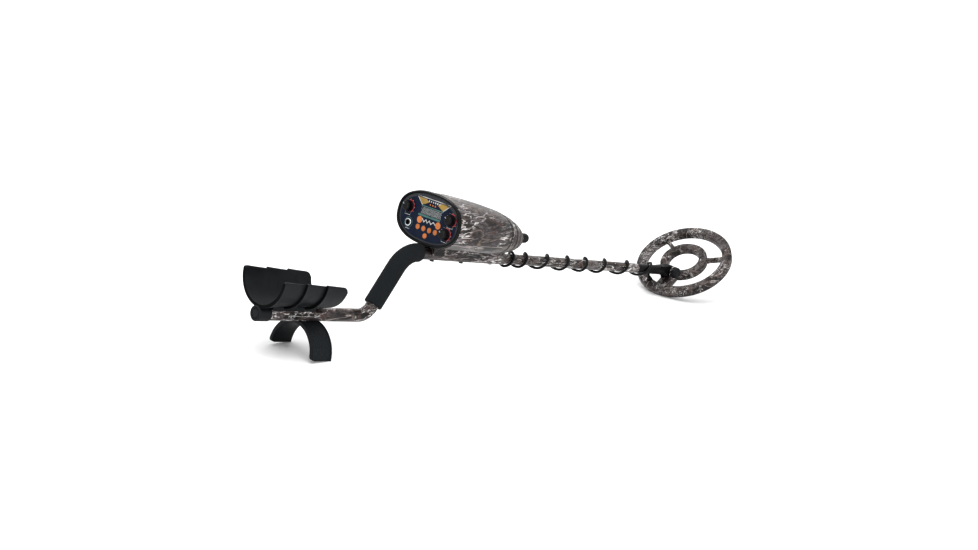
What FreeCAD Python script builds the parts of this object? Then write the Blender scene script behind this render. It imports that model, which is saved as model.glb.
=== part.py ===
"""A hand-held metal detector with a bent S-shaped shaft, as a parametric FreeCAD document.

The detector is drawn in its shaft frame: the origin is the rear face of the end cap, +X runs
forward along the rear tube, +Y is the user's left and +Z is square to the tube.  The last step
stands the whole detector on its two feet and on the rear rim of its coil.  Millimetres, degrees.
"""
import FreeCAD, Part
import math
import os
import Sketcher
from FreeCAD import Placement, Rotation, Vector

X, Y, Z = Vector(1, 0, 0), Vector(0, 1, 0), Vector(0, 0, 1)
NO_TURN = Rotation()
ALONG_Y = Rotation(Z, 90)        # turns a body's own X axis to +Y
ALONG_MINUS_Y = Rotation(Z, -90)
ALONG_MINUS_X = Rotation(Z, 180)
UP = Rotation(Y, -90)            # turns a body's own X axis to +Z
DOWN = Rotation(Y, 90)

SIZES = {
    # tubes
    "upper_radius": 11.1, "upper_bore": 9.65, "middle_radius": 9.55, "middle_bore": 8.2,
    "rear_bend_x": 234.75, "shaft_rise": 112, "bend_angle": 62.86,
    "rear_bend_radius": 32, "front_bend_radius": 50, "upper_end_x": 545,
    "middle_start_x": 488, "middle_end_x": 972,
    "edge": 0.8,
    # end cap and grip
    "cap_radius": 12.4, "cap_length": 22, "cap_floor": 1.5,
    "grip_radius": 16, "grip_start": 20.5, "grip_end_x": 325,
    # arm cup and stand
    "cup_radius": 49.8, "cup_wall": 4.9, "cup_rear_x": -0.5, "cup_length": 137.5,
    "cup_centre_height": 60, "cup_rim": 0.6, "cup_front_drop": 3.6, "cup_corner": 11,
    "seat_half_width": 9, "seat_length": 110, "seat_drop": 4,
    "arm_bolt_x": 106, "arm_bolt_radius": 3, "arm_bolt_hole": 3.2, "arm_bolt_head": 8,
    "arm_head_rise": 3.2, "arm_bolt_length": 38, "nut_radius": 6.2, "nut_height": 5,
    "stand_radius": 52.5, "stand_wall": 6.3, "stand_width": 42.5, "stand_drop": 61, "stand_corner": 6,
    # control housing
    "mouth_x": 331, "housing_length": 227, "housing_half_width": 73.8,
    "housing_half_height": 45.2, "housing_centre": 170.6, "housing_fall": 16, "wall": 2.6,
    "housing_floor": 126.5, "saddle_rear_x": 345, "saddle_length": 175, "saddle_half_width": 14.5,
    "saddle_height": 22, "rear_screw_x": 361, "front_screw_x": 436, "screw_radius": 2,
    "screw_hole": 2.15, "screw_length": 36, "screw_head": 3.8, "screw_head_height": 2.4,
    "boss_radius": 5, "boss_height": 14, "speaker_x": 478, "speaker_y": 34, "sound_hole": 1.6,
    "sound_hole_ring": 8, "speaker_radius": 13, "speaker_depth": 9, "speaker_z": 136.5,
    # front panel
    "bezel_half_width": 73, "bezel_half_height": 44.4, "bezel_rim": 4.2, "bezel_depth": 5.5,
    "panel_x": 328.3, "panel_thick": 2.5, "panel_gap": 0.2,
    "window_width": 48, "window_height": 12, "window_thick": 1.5, "window_y": -3, "window_z": 182,
    "knob_radius": 9, "knob_height": 10, "knob_gap": 0.3, "shaft_radius": 3, "shaft_bore": 3.05,
    "bushing_radius": 4.6, "pot_radius": 8.5, "pot_depth": 9,
    "button_radius": 4.5, "button_hole": 4.7, "button_height": 1.2, "button_flange": 5.6,
    "jack_bore": 3.25, "jack_barrel": 4.8, "jack_depth": 30, "jack_nut_radius": 7,
    "jack_y": 42.5, "jack_z": 154.6,
    # battery bay
    "door_x": 366, "door_length": 74, "door_low": 151, "door_high": 187, "door_gap": 0.35,
    "hinge_y": 69.4, "knuckle_radius": 2, "knuckle_length": 6.2, "hinge_pin": 0.8, "hinge_bore": 0.85,
    "battery_length": 48.5, "battery_width": 26.5, "battery_thick": 17.5, "battery_x": 377,
    "snap_cap": 5, "tray_wall": 1.4, "tray_y": 35.5, "tray_depth": 28.5, "tray_height": 26,
    "module_thick": 6, "board_x": 339.9, "board_thick": 1.6, "jack_body": 7.5,
    # connector and cable
    "plug_radius": 9, "plug_length": 42, "plug_z": 153, "socket_radius": 8.2, "socket_depth": 12,
    "spigot_radius": 6, "cable_radius": 2.5, "wrap_radius": 13.3,
    "gland_angle": 160, "gland_reach": 87, "gland_height": 8,
    # lower stem
    "stem_radius": 8.15, "stem_back_x": 735, "stem_shoulder": 9.5, "stem_gap": 0.3,
    "stem_bore": 5.5, "stem_bore_depth": 60, "stem_neck_x": 1066, "pivot_x": 1094.3,
    "eye_radius": 12.3, "eye_half_width": 9.2,
    "pivot_bore": 4.1, "pivot_bolt": 4.05, "washer_radius": 10, "bolt_length": 39,
    # coil, in its own frame: origin at the coil's centre, +X forward, +Z square to the coil
    "coil_tilt": 43, "coil_reach": 51.9, "coil_drop": 19.5,
    "ring_outer": 101.6, "ring_inner": 81.5, "hub_outer": 50, "hub_inner": 32.5,
    "coil_half_thick": 8, "cover_thick": 2.5, "shell_wall": 2.8, "spoke_width": 7, "spoke_thick": 9,
    "ear_radius": 12, "ear_thick": 4, "ear_gap": 10.3, "pedestal_top": 5.5, "pedestal_back": 31,
    "pedestal_front": 13, "coil_knob_radius": 12, "coil_knob_height": 11,
    "tx_radius": 91.5, "tx_section": 4, "rx_radius": 41.2, "rx_section": 3.6,
    # snap buttons
    "snap_x": 514.5, "snap_radius": 4, "snap_hole": 4.1, "snap_proud": 2, "snap_top": 5.2,
    "leaf_width": 6, "leaf_drop": 3.8,
    "stem_snap_x": 752, "stem_snap_radius": 3, "stem_snap_hole": 3.2,
    "stem_hole_step": 30, "stem_hole_count": 7,
}

PIVOT_HEIGHT = "dim.shaft_rise"
SUPERELLIPSE_POWER = 2.4
SUPERELLIPSE_POINTS = 48
HOUSING_SECTIONS = (0, 0.15, 0.3, 0.45, 0.6, 0.72, 0.82, 0.9, 0.96, 1.0)
KNOB_PLACES = {"sensitivity": (49, 181), "discrimination": (-51, 181), "notch": (-45.5, 155.6)}
BUTTON_PLACES = ((19.4, 152.7), (5.6, 152.7), (-8.2, 152.7), (-22, 152.7), (-1, 141.3))
# Each board's name and place along the shaft, then its edges across (low, high) and up (low, high).
BOARDS = (("circuit_board", "dim.board_x", -56, 30, 145, 194),
          ("keypad_board", "dim.panel_x + dim.panel_thick + 2.2", -30, 28, 134, 160))
SPOKE_ANGLES = (60, 180, 300)
# Where the wound cable crosses the top and the bottom of the shaft, and its way down from the plug.
WRAP_TOPS = (568, 607, 673, 735, 793, 857, 936, 1022)
WRAP_BOTTOMS = (551, 589, 645, 713, 777, 833, 905, 976)
CABLE_LEAD = ((30, 9.1, 0), (30, 19, -1), (24, 27, -8), (13, 29, -19), (2, 25, -31), (-4, 16, -41))

doc = FreeCAD.newDocument("metal_detector")
dim = doc.addObject("Spreadsheet::Sheet", "dim")
for row, (alias, amount) in enumerate(SIZES.items(), start=1):
    dim.set(f"A{row}", alias)
    dim.set(f"B{row}", str(amount))
    dim.setAlias(f"B{row}", alias)
doc.recompute()

nodes = []


def size(expression):
    """The value of an expression of the sheet's sizes."""
    return float(dim.evalExpression(str(expression)))


def point(along, across, height):
    """A place in the shaft frame, from three expressions."""
    return Vector(size(along), size(across), size(height))


BEND = math.radians(size("dim.bend_angle"))
FRONT_BEND_X = size("dim.rear_bend_x") + size("dim.shaft_rise") / math.tan(BEND)
REAR_TANGENT = size("dim.rear_bend_radius") * math.tan(BEND / 2)
FRONT_TANGENT = size("dim.front_bend_radius") * math.tan(BEND / 2)

# The coil's own frame, in the shaft frame.
COIL_TURN = Rotation(Y, -size("dim.coil_tilt"))
PIVOT = point("dim.pivot_x", 0, PIVOT_HEIGHT)
COIL_CENTRE = PIVOT + COIL_TURN.multVec(point("dim.coil_reach", 0, "-dim.coil_drop"))
COIL = Placement(COIL_CENTRE, COIL_TURN)

# Standing: the front edge of the feet and the rear rim of the coil touch the ground.
FOOT_EDGE = point("dim.arm_bolt_x + dim.stand_width / 2", 0, "-dim.stand_drop")
COIL_RIM = COIL.multVec(point("-dim.ring_outer", 0, "-dim.coil_half_thick"))
PITCH = math.degrees(math.atan2(COIL_RIM.z - FOOT_EDGE.z, COIL_RIM.x - FOOT_EDGE.x))
LEAN = Rotation(Y, PITCH)
COIL_NOSE = COIL.multVec(point("dim.ring_outer", 0, "dim.coil_half_thick"))
REAR_EDGE = LEAN.multVec(point(0, 0, "-dim.cap_radius")).x
MIDDLE = (REAR_EDGE + LEAN.multVec(COIL_NOSE).x) / 2
STANDING = Placement(Vector(-MIDDLE, 0, -LEAN.multVec(FOOT_EDGE).z), LEAN)


def keep(thing, label, placement=None):
    """Stand a finished sub-part on the ground and list it for writing."""
    thing.Label = label
    thing.Placement = STANDING.multiply(placement or Placement())
    nodes.append(thing)
    return thing


# ---- sketches and bodies -------------------------------------------------------------------

def new_body(label, place=None, turn=NO_TURN):
    body = doc.addObject("PartDesign::Body", label + "_body")
    keep(body, label, Placement(place or Vector(), turn))
    return body


def new_sketch(body, role, name):
    sketch = body.newObject("Sketcher::SketchObject", name)
    plane = [feature for feature in body.Origin.OriginFeatures if feature.Role == role][0]
    sketch.AttachmentSupport = (plane, "")
    sketch.MapMode = "FlatFace"
    return sketch


def bind(sketch, kind, *where):
    """Add a dimension to a sketch; the last item is its expression."""
    expression = str(where[-1])
    index = sketch.addConstraint(Sketcher.Constraint(kind, *where[:-1], size(expression)))
    sketch.setExpression(f"Constraints[{index}]", expression)


def pin_point(sketch, line, end, across, up):
    """Hold one end of a line at a place given by two expressions."""
    for kind, axis, expression in (("DistanceX", -2, across), ("DistanceY", -1, up)):
        if str(expression) == "0":
            sketch.addConstraint(Sketcher.Constraint("PointOnObject", line, end, axis))
        else:
            bind(sketch, kind, -1, 1, line, end, expression)


def outline(body, role, name, corners):
    """A closed outline of straight lines through corners given as pairs of expressions."""
    sketch = new_sketch(body, role, name)
    places = [Vector(size(across), size(up), 0) for across, up in corners]
    count = len(places)
    for i in range(count):
        sketch.addGeometry(Part.LineSegment(places[i], places[(i + 1) % count]), False)
    for i in range(count):
        sketch.addConstraint(Sketcher.Constraint("Coincident", i, 2, (i + 1) % count, 1))
    for i, (across, up) in enumerate(corners):
        pin_point(sketch, i, 1, across, up)
    return sketch


def circles(body, role, name, rounds):
    """Circles given as (across, up, radius) expressions."""
    sketch = new_sketch(body, role, name)
    for i, (across, up, radius) in enumerate(rounds):
        centre = Vector(size(across), size(up), 0)
        sketch.addGeometry(Part.Circle(centre, Z, size(radius)), False)
        bind(sketch, "Radius", i, radius)
        if str(across) == "0" and str(up) == "0":
            sketch.addConstraint(Sketcher.Constraint("Coincident", i, 3, -1, 1))
        else:
            pin_point(sketch, i, 3, across, up)
    return sketch


def revolve(body, corners, name="profile"):
    """Turn a profile of (along, radius) corners about the body's own X axis."""
    feature = body.newObject("PartDesign::Revolution", name + "_turn")
    feature.Profile = outline(body, "XZ_Plane", name, corners)
    feature.ReferenceAxis = (feature.Profile[0], ["H_Axis"])
    feature.Angle = 360
    return feature


def pad(body, sketch, length, both_ways=False):
    feature = body.newObject("PartDesign::Pad", sketch.Name + "_pad")
    feature.Profile = sketch
    feature.setExpression("Length", str(length))
    feature.Midplane = both_ways
    return feature


def pocket(body, sketch, length=None, reverse=False):
    """Cut a sketch right through both ways, or to a length one way."""
    feature = body.newObject("PartDesign::Pocket", sketch.Name + "_cut")
    feature.Profile = sketch
    if length is None:
        feature.Type = "ThroughAll"
        feature.Midplane = True
    else:
        feature.setExpression("Length", str(length))
        feature.Reversed = reverse
    return feature


def turned(label, corners, place, turn=NO_TURN):
    body = new_body(label, place, turn)
    revolve(body, corners, label + "_profile")
    return body


# ---- primitives and booleans ---------------------------------------------------------------

def block(name, length, width, height, place):
    solid = doc.addObject("Part::Box", name)
    for side, expression in (("Length", length), ("Width", width), ("Height", height)):
        solid.setExpression(side, str(expression))
    solid.Placement = Placement(place, NO_TURN)
    return solid


def rod(name, radius, height, place, turn=NO_TURN):
    """A cylinder that starts at place and runs along its own Z."""
    solid = doc.addObject("Part::Cylinder", name)
    solid.setExpression("Radius", str(radius))
    solid.setExpression("Height", str(height))
    solid.Placement = Placement(place, turn)
    return solid


def join(name, solids):
    fused = doc.addObject("Part::MultiFuse", name)
    fused.Shapes = solids
    fused.Refine = False
    return fused


def cut(name, base, tool):
    result = doc.addObject("Part::Cut", name)
    result.Base = base
    result.Tool = tool
    result.Refine = False
    return result


def plain(name, shape):
    feature = doc.addObject("Part::Feature", name)
    feature.Shape = shape
    return feature


# ---- tubes ---------------------------------------------------------------------------------

def bent_path(body, name, rear_run, end_x):
    """The line of the bent tube up to end_x: with the rear run and bend, or from the slope."""
    sketch = new_sketch(body, "XZ_Plane", name)
    rise = size("dim.shaft_rise")
    slope = Vector(math.cos(BEND), math.sin(BEND), 0)
    foot = Vector(size("dim.rear_bend_x"), 0, 0)
    crest = Vector(FRONT_BEND_X, rise, 0)
    low_radius, high_radius = size("dim.rear_bend_radius"), size("dim.front_bend_radius")
    slope_top = crest - slope * FRONT_TANGENT
    front_start = crest + Vector(FRONT_TANGENT, 0, 0)
    if rear_run:
        arc_start = foot - Vector(REAR_TANGENT, 0, 0)
        slope_foot = foot + slope * REAR_TANGENT
        centre = arc_start + Vector(0, low_radius, 0)
        low_circle = Part.Circle(centre, Z, low_radius)
        sketch.addGeometry(Part.LineSegment(Vector(), arc_start), False)
        sketch.addGeometry(Part.ArcOfCircle(low_circle, -math.pi / 2, BEND - math.pi / 2), False)
    else:
        slope_foot = foot + slope * size("dim.grip_start")
    line = sketch.addGeometry(Part.LineSegment(slope_foot, slope_top), False)
    centre = front_start - Vector(0, high_radius, 0)
    high_circle = Part.Circle(centre, Z, high_radius)
    sketch.addGeometry(Part.ArcOfCircle(high_circle, math.pi / 2, math.pi / 2 + BEND), False)
    sketch.addGeometry(Part.LineSegment(front_start, Vector(size(end_x), rise, 0)), False)
    sketch.addConstraint(Sketcher.Constraint("Tangent", line, 2, line + 1, 2))
    sketch.addConstraint(Sketcher.Constraint("Tangent", line + 1, 1, line + 2, 1))
    sketch.addConstraint(Sketcher.Constraint("Horizontal", line + 2))
    bind(sketch, "Radius", line + 1, "dim.front_bend_radius")
    bind(sketch, "DistanceY", -1, 1, line + 2, 2, "dim.shaft_rise")
    bind(sketch, "DistanceX", -1, 1, line + 2, 2, end_x)
    if rear_run:
        sketch.addConstraint(Sketcher.Constraint("Coincident", 0, 1, -1, 1))
        sketch.addConstraint(Sketcher.Constraint("Tangent", 0, 2, 1, 1))
        sketch.addConstraint(Sketcher.Constraint("Tangent", 1, 2, line, 1))
        sketch.addConstraint(Sketcher.Constraint("Horizontal", 0))
        bind(sketch, "Radius", 1, "dim.rear_bend_radius")
        bind(sketch, "DistanceX", -1, 1, 0, 2,
             "dim.rear_bend_x - dim.rear_bend_radius * tan(dim.bend_angle * 1 deg / 2)")
    else:
        bind(sketch, "DistanceX", -1, 1, line, 1,
             "dim.rear_bend_x + dim.grip_start * cos(dim.bend_angle * 1 deg)")
        bind(sketch, "DistanceY", -1, 1, line, 1, "dim.grip_start * sin(dim.bend_angle * 1 deg)")
    return sketch


def sweep(body, kind, name, profile, path):
    feature = body.newObject("PartDesign::" + kind, name)
    feature.Profile = profile
    feature.Spine = path
    return feature


def make_upper_shaft():
    body = new_body("upper_shaft")
    path = bent_path(body, "shaft_line", True, "dim.upper_end_x")
    outside = circles(body, "YZ_Plane", "tube_outside", [(0, 0, "dim.upper_radius")])
    sweep(body, "AdditivePipe", "tube", outside, path)
    bore_path = bent_path(body, "bore_line", True, "dim.upper_end_x")
    bore = circles(body, "YZ_Plane", "tube_bore", [(0, 0, "dim.upper_bore")])
    sweep(body, "SubtractivePipe", "tube_inside", bore, bore_path)
    holes = circles(body, "XY_Plane", "bolt_holes", [
        ("dim.arm_bolt_x", 0, "dim.arm_bolt_hole"),
        ("dim.rear_screw_x", 0, "dim.screw_hole"),
        ("dim.front_screw_x", 0, "dim.screw_hole")])
    pocket(body, holes)
    snap = circles(body, "XY_Plane", "snap_hole", [("dim.snap_x", 0, "dim.snap_hole")])
    pocket(body, snap, PIVOT_HEIGHT, reverse=True)


def make_middle_tube():
    place = point("dim.middle_start_x", 0, PIVOT_HEIGHT)
    body = new_body("middle_tube", place)
    wall = circles(body, "YZ_Plane", "wall", [(0, 0, "dim.middle_radius"),
                                              (0, 0, "dim.middle_bore")])
    pad(body, wall, "dim.middle_end_x - dim.middle_start_x")
    snap = circles(body, "XY_Plane", "snap_hole", [
        ("dim.snap_x - dim.middle_start_x", 0, "dim.snap_hole")])
    pocket(body, snap, "dim.middle_radius + 1")
    first = circles(body, "XY_Plane", "length_hole", [
        ("dim.stem_snap_x - dim.middle_start_x", 0, "dim.stem_snap_hole")])
    hole = pocket(body, first, "dim.middle_radius + 1")
    row = body.newObject("PartDesign::LinearPattern", "length_holes")
    row.Originals = [hole]
    row.Direction = (first, ["H_Axis"])
    row.setExpression("Length", "dim.stem_hole_step * (dim.stem_hole_count - 1)")
    row.setExpression("Occurrences", "dim.stem_hole_count")
    body.Tip = row


def make_end_cap():
    turned("tube_end_cap", [
        ("-dim.cap_floor", 0), ("-dim.cap_floor", "dim.cap_radius - dim.edge"),
        ("dim.edge - dim.cap_floor", "dim.cap_radius"),
        ("dim.cap_length", "dim.cap_radius"), ("dim.cap_length", "dim.upper_radius"),
        (0, "dim.upper_radius"), (0, 0)], Vector())


def make_grip():
    """Foam sleeve: its body starts at the foot of the slope, with +X up the slope."""
    slope = Vector(math.cos(BEND), 0, math.sin(BEND))
    start = point("dim.rear_bend_x", 0, 0) + slope * size("dim.grip_start")
    body = new_body("foam_grip", start, Rotation(Y, -size("dim.bend_angle")))
    rise, radius = size("dim.shaft_rise"), size("dim.front_bend_radius")
    straight = rise / math.sin(BEND) - size("dim.grip_start") - FRONT_TANGENT
    front = size("dim.grip_end_x") - FRONT_BEND_X - FRONT_TANGENT
    for kind, ring_radius in (("AdditivePipe", "dim.grip_radius"),
                              ("SubtractivePipe", "dim.upper_radius")):
        path = new_sketch(body, "XZ_Plane", kind + "_line")
        bend = Part.Circle(Vector(straight, -radius, 0), Z, radius)
        turn_end = Vector(straight + radius * math.sin(BEND), radius * (math.cos(BEND) - 1), 0)
        heading = Vector(math.cos(BEND), -math.sin(BEND), 0)
        path.addGeometry(Part.LineSegment(Vector(), Vector(straight, 0, 0)), False)
        path.addGeometry(Part.ArcOfCircle(bend, math.pi / 2 - BEND, math.pi / 2), False)
        path.addGeometry(Part.LineSegment(turn_end, turn_end + heading * front), False)
        path.addConstraint(Sketcher.Constraint("Coincident", 0, 1, -1, 1))
        path.addConstraint(Sketcher.Constraint("Horizontal", 0))
        path.addConstraint(Sketcher.Constraint("Tangent", 0, 2, 1, 2))
        path.addConstraint(Sketcher.Constraint("Tangent", 1, 1, 2, 1))
        bind(path, "DistanceX", -1, 1, 0, 2,
             "dim.shaft_rise / sin(dim.bend_angle * 1 deg) - dim.grip_start"
             " - dim.front_bend_radius * tan(dim.bend_angle * 1 deg / 2)")
        bind(path, "Radius", 1, "dim.front_bend_radius")
        ring = circles(body, "YZ_Plane", kind + "_ring", [(0, 0, ring_radius)])
        sweep(body, kind, kind + "_foam", ring, path)


# ---- arm cup and stand ---------------------------------------------------------------------

def make_arm_cup():
    """A half-pipe trough, open above, on a seat that straddles the rear tube."""
    body = new_body("arm_cup", point("dim.cup_rear_x", 0, "dim.cup_centre_height"))
    trough = circles(body, "YZ_Plane", "trough", [(0, 0, "dim.cup_radius"),
                                                  (0, 0, "dim.cup_radius - dim.cup_wall")])
    pad(body, trough, "dim.cup_length")
    seat = outline(body, "YZ_Plane", "seat", [
        ("-dim.seat_half_width", "-dim.cup_radius + dim.cup_wall / 2"),
        ("-dim.seat_half_width", "dim.seat_drop - dim.cup_centre_height"),
        ("dim.seat_half_width", "dim.seat_drop - dim.cup_centre_height"),
        ("dim.seat_half_width", "-dim.cup_radius + dim.cup_wall / 2")])
    pad(body, seat, "dim.seat_length")
    tube = circles(body, "YZ_Plane", "tube_clear", [
        (0, "-dim.cup_centre_height", "dim.upper_radius")])
    pocket(body, tube)
    cap = circles(body, "YZ_Plane", "cap_clear", [
        (0, "-dim.cup_centre_height", "dim.cap_radius + 0.2")])
    pocket(body, cap, "dim.cap_length + 0.5 - dim.cup_rear_x", reverse=True)
    above = outline(body, "XZ_Plane", "above_the_rim", [
        ("-dim.edge", "dim.cup_rim"), ("-dim.edge", "dim.cup_radius + dim.edge"),
        ("dim.cup_length + dim.edge", "dim.cup_radius + dim.edge"),
        ("dim.cup_length + dim.edge", "dim.cup_rim - dim.cup_front_drop - dim.cup_corner"),
        ("dim.cup_length - dim.cup_corner", "dim.cup_rim - dim.cup_front_drop")])
    pocket(body, above)
    bolt = circles(body, "XY_Plane", "bolt_hole", [
        ("dim.arm_bolt_x - dim.cup_rear_x", 0, "dim.arm_bolt_hole")])
    pocket(body, bolt)


def make_stand():
    """An arched foot: a half ring across the tube, with its two ends on the ground."""
    body = new_body("stand", point("dim.arm_bolt_x - dim.stand_width / 2", 0, "-dim.stand_drop"))
    arch = circles(body, "YZ_Plane", "arch", [(0, 0, "dim.stand_radius"),
                                              (0, 0, "dim.stand_radius - dim.stand_wall")])
    pad(body, arch, "dim.stand_width")
    below = outline(body, "XZ_Plane", "below_the_feet", [
        ("-dim.edge", "dim.stand_corner"), ("dim.stand_corner", 0),
        ("dim.stand_width + dim.edge", 0), ("dim.stand_width + dim.edge", "-dim.stand_radius - 1"),
        ("-dim.edge", "-dim.stand_radius - 1")])
    pocket(body, below)
    tube = circles(body, "YZ_Plane", "tube_clear", [(0, "dim.stand_drop", "dim.upper_radius")])
    pocket(body, tube)
    bolt = circles(body, "XY_Plane", "bolt_hole", [("dim.stand_width / 2", 0, "dim.arm_bolt_hole")])
    pocket(body, bolt)


def make_arm_bolt():
    """A dome-headed bolt down through cup, tube and stand, with a nut under the arch."""
    head_z = "dim.cup_centre_height - dim.cup_radius + dim.cup_wall + dim.edge"
    turned("armrest_bolt", [
        (0, 0), (0, "dim.arm_bolt_head"), ("-dim.edge * 2", "dim.arm_bolt_head"),
        ("-dim.arm_head_rise", "dim.arm_bolt_radius"), ("-dim.arm_head_rise", 0)],
        point("dim.arm_bolt_x", 0, head_z), DOWN)
    shank = circles(nodes[-1], "YZ_Plane", "shank", [(0, 0, "dim.arm_bolt_radius")])
    pad(nodes[-1], shank, "dim.arm_bolt_length")
    under = point("dim.arm_bolt_x", 0, "dim.stand_radius - dim.stand_wall - dim.stand_drop - 0.45")
    nut = new_body("armrest_nut", under, DOWN)
    corners = [(f"dim.nut_radius * cos({60 * i} deg)", f"dim.nut_radius * sin({60 * i} deg)")
               for i in range(1, 6)]
    hexagon = outline(nut, "YZ_Plane", "hexagon", [("dim.nut_radius", 0)] + corners[:2]
                      + [("-dim.nut_radius", 0)] + corners[3:])
    pad(nut, hexagon, "dim.nut_height")
    pocket(nut, circles(nut, "YZ_Plane", "thread", [(0, 0, "dim.arm_bolt_radius")]))


# ---- control housing -----------------------------------------------------------------------

def superellipse(half_width, half_height, x, z):
    """A closed smooth wire across the shaft, centred at (x, 0, z)."""
    places = []
    for i in range(SUPERELLIPSE_POINTS):
        turn = 2 * math.pi * i / SUPERELLIPSE_POINTS
        across = math.copysign(abs(math.cos(turn)) ** (2 / SUPERELLIPSE_POWER), math.cos(turn))
        up = math.copysign(abs(math.sin(turn)) ** (2 / SUPERELLIPSE_POWER), math.sin(turn))
        places.append(Vector(x, half_width * across, z + half_height * up))
    curve = Part.BSplineCurve()
    curve.interpolate(places, PeriodicFlag=True)
    return Part.Wire(curve.toShape())


def housing_form(inset):
    """The rounded tapering form of the housing, drawn in by an inset on every side but the mouth."""
    wires = []
    for share in HOUSING_SECTIONS:
        run = size("dim.housing_length") * share
        half_width = size("dim.housing_half_width") * (1 - 0.67 * share ** 4.5) - inset
        half_height = size("dim.housing_half_height") * (1 - 0.15 * share - 0.6 * share ** 5) - inset
        centre = size("dim.housing_centre") - size("dim.housing_fall") * share ** 1.5
        run = run - inset * share
        wires.append(superellipse(half_width, half_height, size("dim.mouth_x") + run, centre))
    return Part.makeLoft(wires, True, False)


def panel_disc(half_width, half_height, back_x, thickness):
    wire = superellipse(half_width, half_height, back_x, size("dim.housing_centre"))
    return Part.Face(wire).extrude(Vector(thickness, 0, 0))


def door_block(name, gap):
    """The space of the battery door's opening, drawn in by a gap."""
    return block(name, "dim.door_length - 2 * " + gap, "dim.housing_half_width / 2",
                 "dim.door_high - dim.door_low - 2 * " + gap,
                 point("dim.door_x + " + gap, "dim.housing_half_width * 0.7",
                       "dim.door_low + " + gap))


def hinge_rod(name, radius, start, length):
    """A rod on the battery door's hinge line, from a distance along the door."""
    return rod(name, radius, length, point("dim.door_x + " + start, "dim.hinge_y", "dim.door_low"),
               DOWN)


def hinge_ends(name, radius, extra):
    """The two end stretches of the hinge line, each a little longer by extra."""
    knuckle = "dim.knuckle_length + " + extra
    return [hinge_rod(name + "_rear", radius, "dim.edge", knuckle),
            hinge_rod(name + "_front", radius,
                      "dim.door_length - dim.edge - dim.knuckle_length - " + extra, knuckle)]


def hinge_middle(name, radius, extra):
    start = "dim.edge + dim.knuckle_length + 0.4 - " + extra
    return hinge_rod(name, radius, start, "dim.door_length - 2 * (" + start + ")")


def make_housing(outer, inner):
    tools = []
    bosses = hinge_ends("housing_knuckle", "dim.knuckle_radius", "0")
    for name in ("rear", "front"):
        x = "dim." + name + "_screw_x"
        bosses.append(rod(name + "_boss", "dim.boss_radius", "dim.boss_height",
                          point(x, 0, "dim.housing_floor")))
        tools.append(rod(name + "_pilot", "dim.screw_radius", "dim.boss_height + 1",
                         point(x, 0, "dim.housing_floor - 3")))
    tools.append(door_block("door_hole", "0 * dim.door_gap"))
    tools.append(hinge_middle("hinge_relief", "dim.knuckle_radius + dim.door_gap", "0.2"))
    tools.append(hinge_rod("hinge_bore", "dim.hinge_pin", "0", "dim.door_length"))
    tools.append(rod("socket_hole", "dim.socket_radius", "dim.socket_depth * 2",
                     point("dim.mouth_x + dim.housing_length - dim.socket_depth", 0,
                           "dim.plug_z"), DOWN))
    for i in range(7):
        turn = math.radians(60 * i)
        reach = size("dim.sound_hole_ring") if i else 0
        offset = Vector(reach * math.cos(turn), reach * math.sin(turn), 0)
        place = point("dim.speaker_x", "dim.speaker_y", "dim.housing_floor - 15") + offset
        tools.append(rod("sound_hole_" + str(i), "dim.sound_hole", 30, place))
    hollow = cut("housing_hollow", outer, inner)
    joined = join("housing_with_bosses", [hollow] + bosses)
    keep(cut("housing_trimmed", joined, join("housing_openings", tools)), "housing_shell")


def make_battery_door(outer, inner):
    """A panel of the housing's own wall, hinged along its lower edge."""
    covered = doc.addObject("Part::Common", "door_cover")
    covered.Base = outer
    covered.Tool = door_block("door_space", "dim.door_gap")
    covered.Refine = False
    plate = cut("door_plate", covered, inner)
    barrel = hinge_middle("door_barrel", "dim.knuckle_radius", "0")
    joined = join("door_with_barrel", [plate, barrel])
    clear = hinge_ends("door_clear", "dim.knuckle_radius + dim.door_gap", "0.2")
    clear.append(hinge_rod("door_bore", "dim.hinge_bore", "0", "dim.door_length"))
    keep(cut("door_trimmed", joined, join("door_tools", clear)), "battery_door")
    length = "dim.door_length - 2 * dim.edge"
    turned("door_hinge_pin", [(0, 0), (0, "dim.hinge_pin"), (length, "dim.hinge_pin"), (length, 0)],
           point("dim.door_x + dim.edge", "dim.hinge_y", "dim.door_low"), NO_TURN)


def make_batteries():
    """Two block batteries, one on the other, in a tray behind the door, with their snap caps."""
    outside = block("tray_outside", "dim.door_length + 2 * dim.tray_wall", "dim.tray_depth",
                    "dim.tray_height", point("dim.door_x - dim.tray_wall", "dim.tray_y",
                                             "dim.door_low - dim.tray_wall"))
    inside = block("tray_inside", "dim.door_length", "dim.tray_depth", "dim.tray_height",
                   point("dim.door_x", "dim.tray_y + dim.tray_wall", "dim.door_low"))
    keep(cut("tray_hollow", outside, inside), "battery_tray")
    cells, caps = [], []
    for i in range(2):
        height = f"dim.door_low + 0.1 + {i} * (dim.battery_thick + 0.2)"
        corner = point("dim.battery_x", "dim.tray_y + dim.tray_wall + 0.2", height)
        cells.append(block(f"cell_{i}", "dim.battery_length", "dim.battery_width",
                           "dim.battery_thick", corner))
        caps.append(block(f"cap_{i}", "dim.snap_cap", "dim.battery_width", "dim.battery_thick",
                          corner - Vector(size("dim.snap_cap"), 0, 0)))
    keep(join("cells", cells), "batteries")
    keep(join("caps", caps), "battery_snaps")


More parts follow.
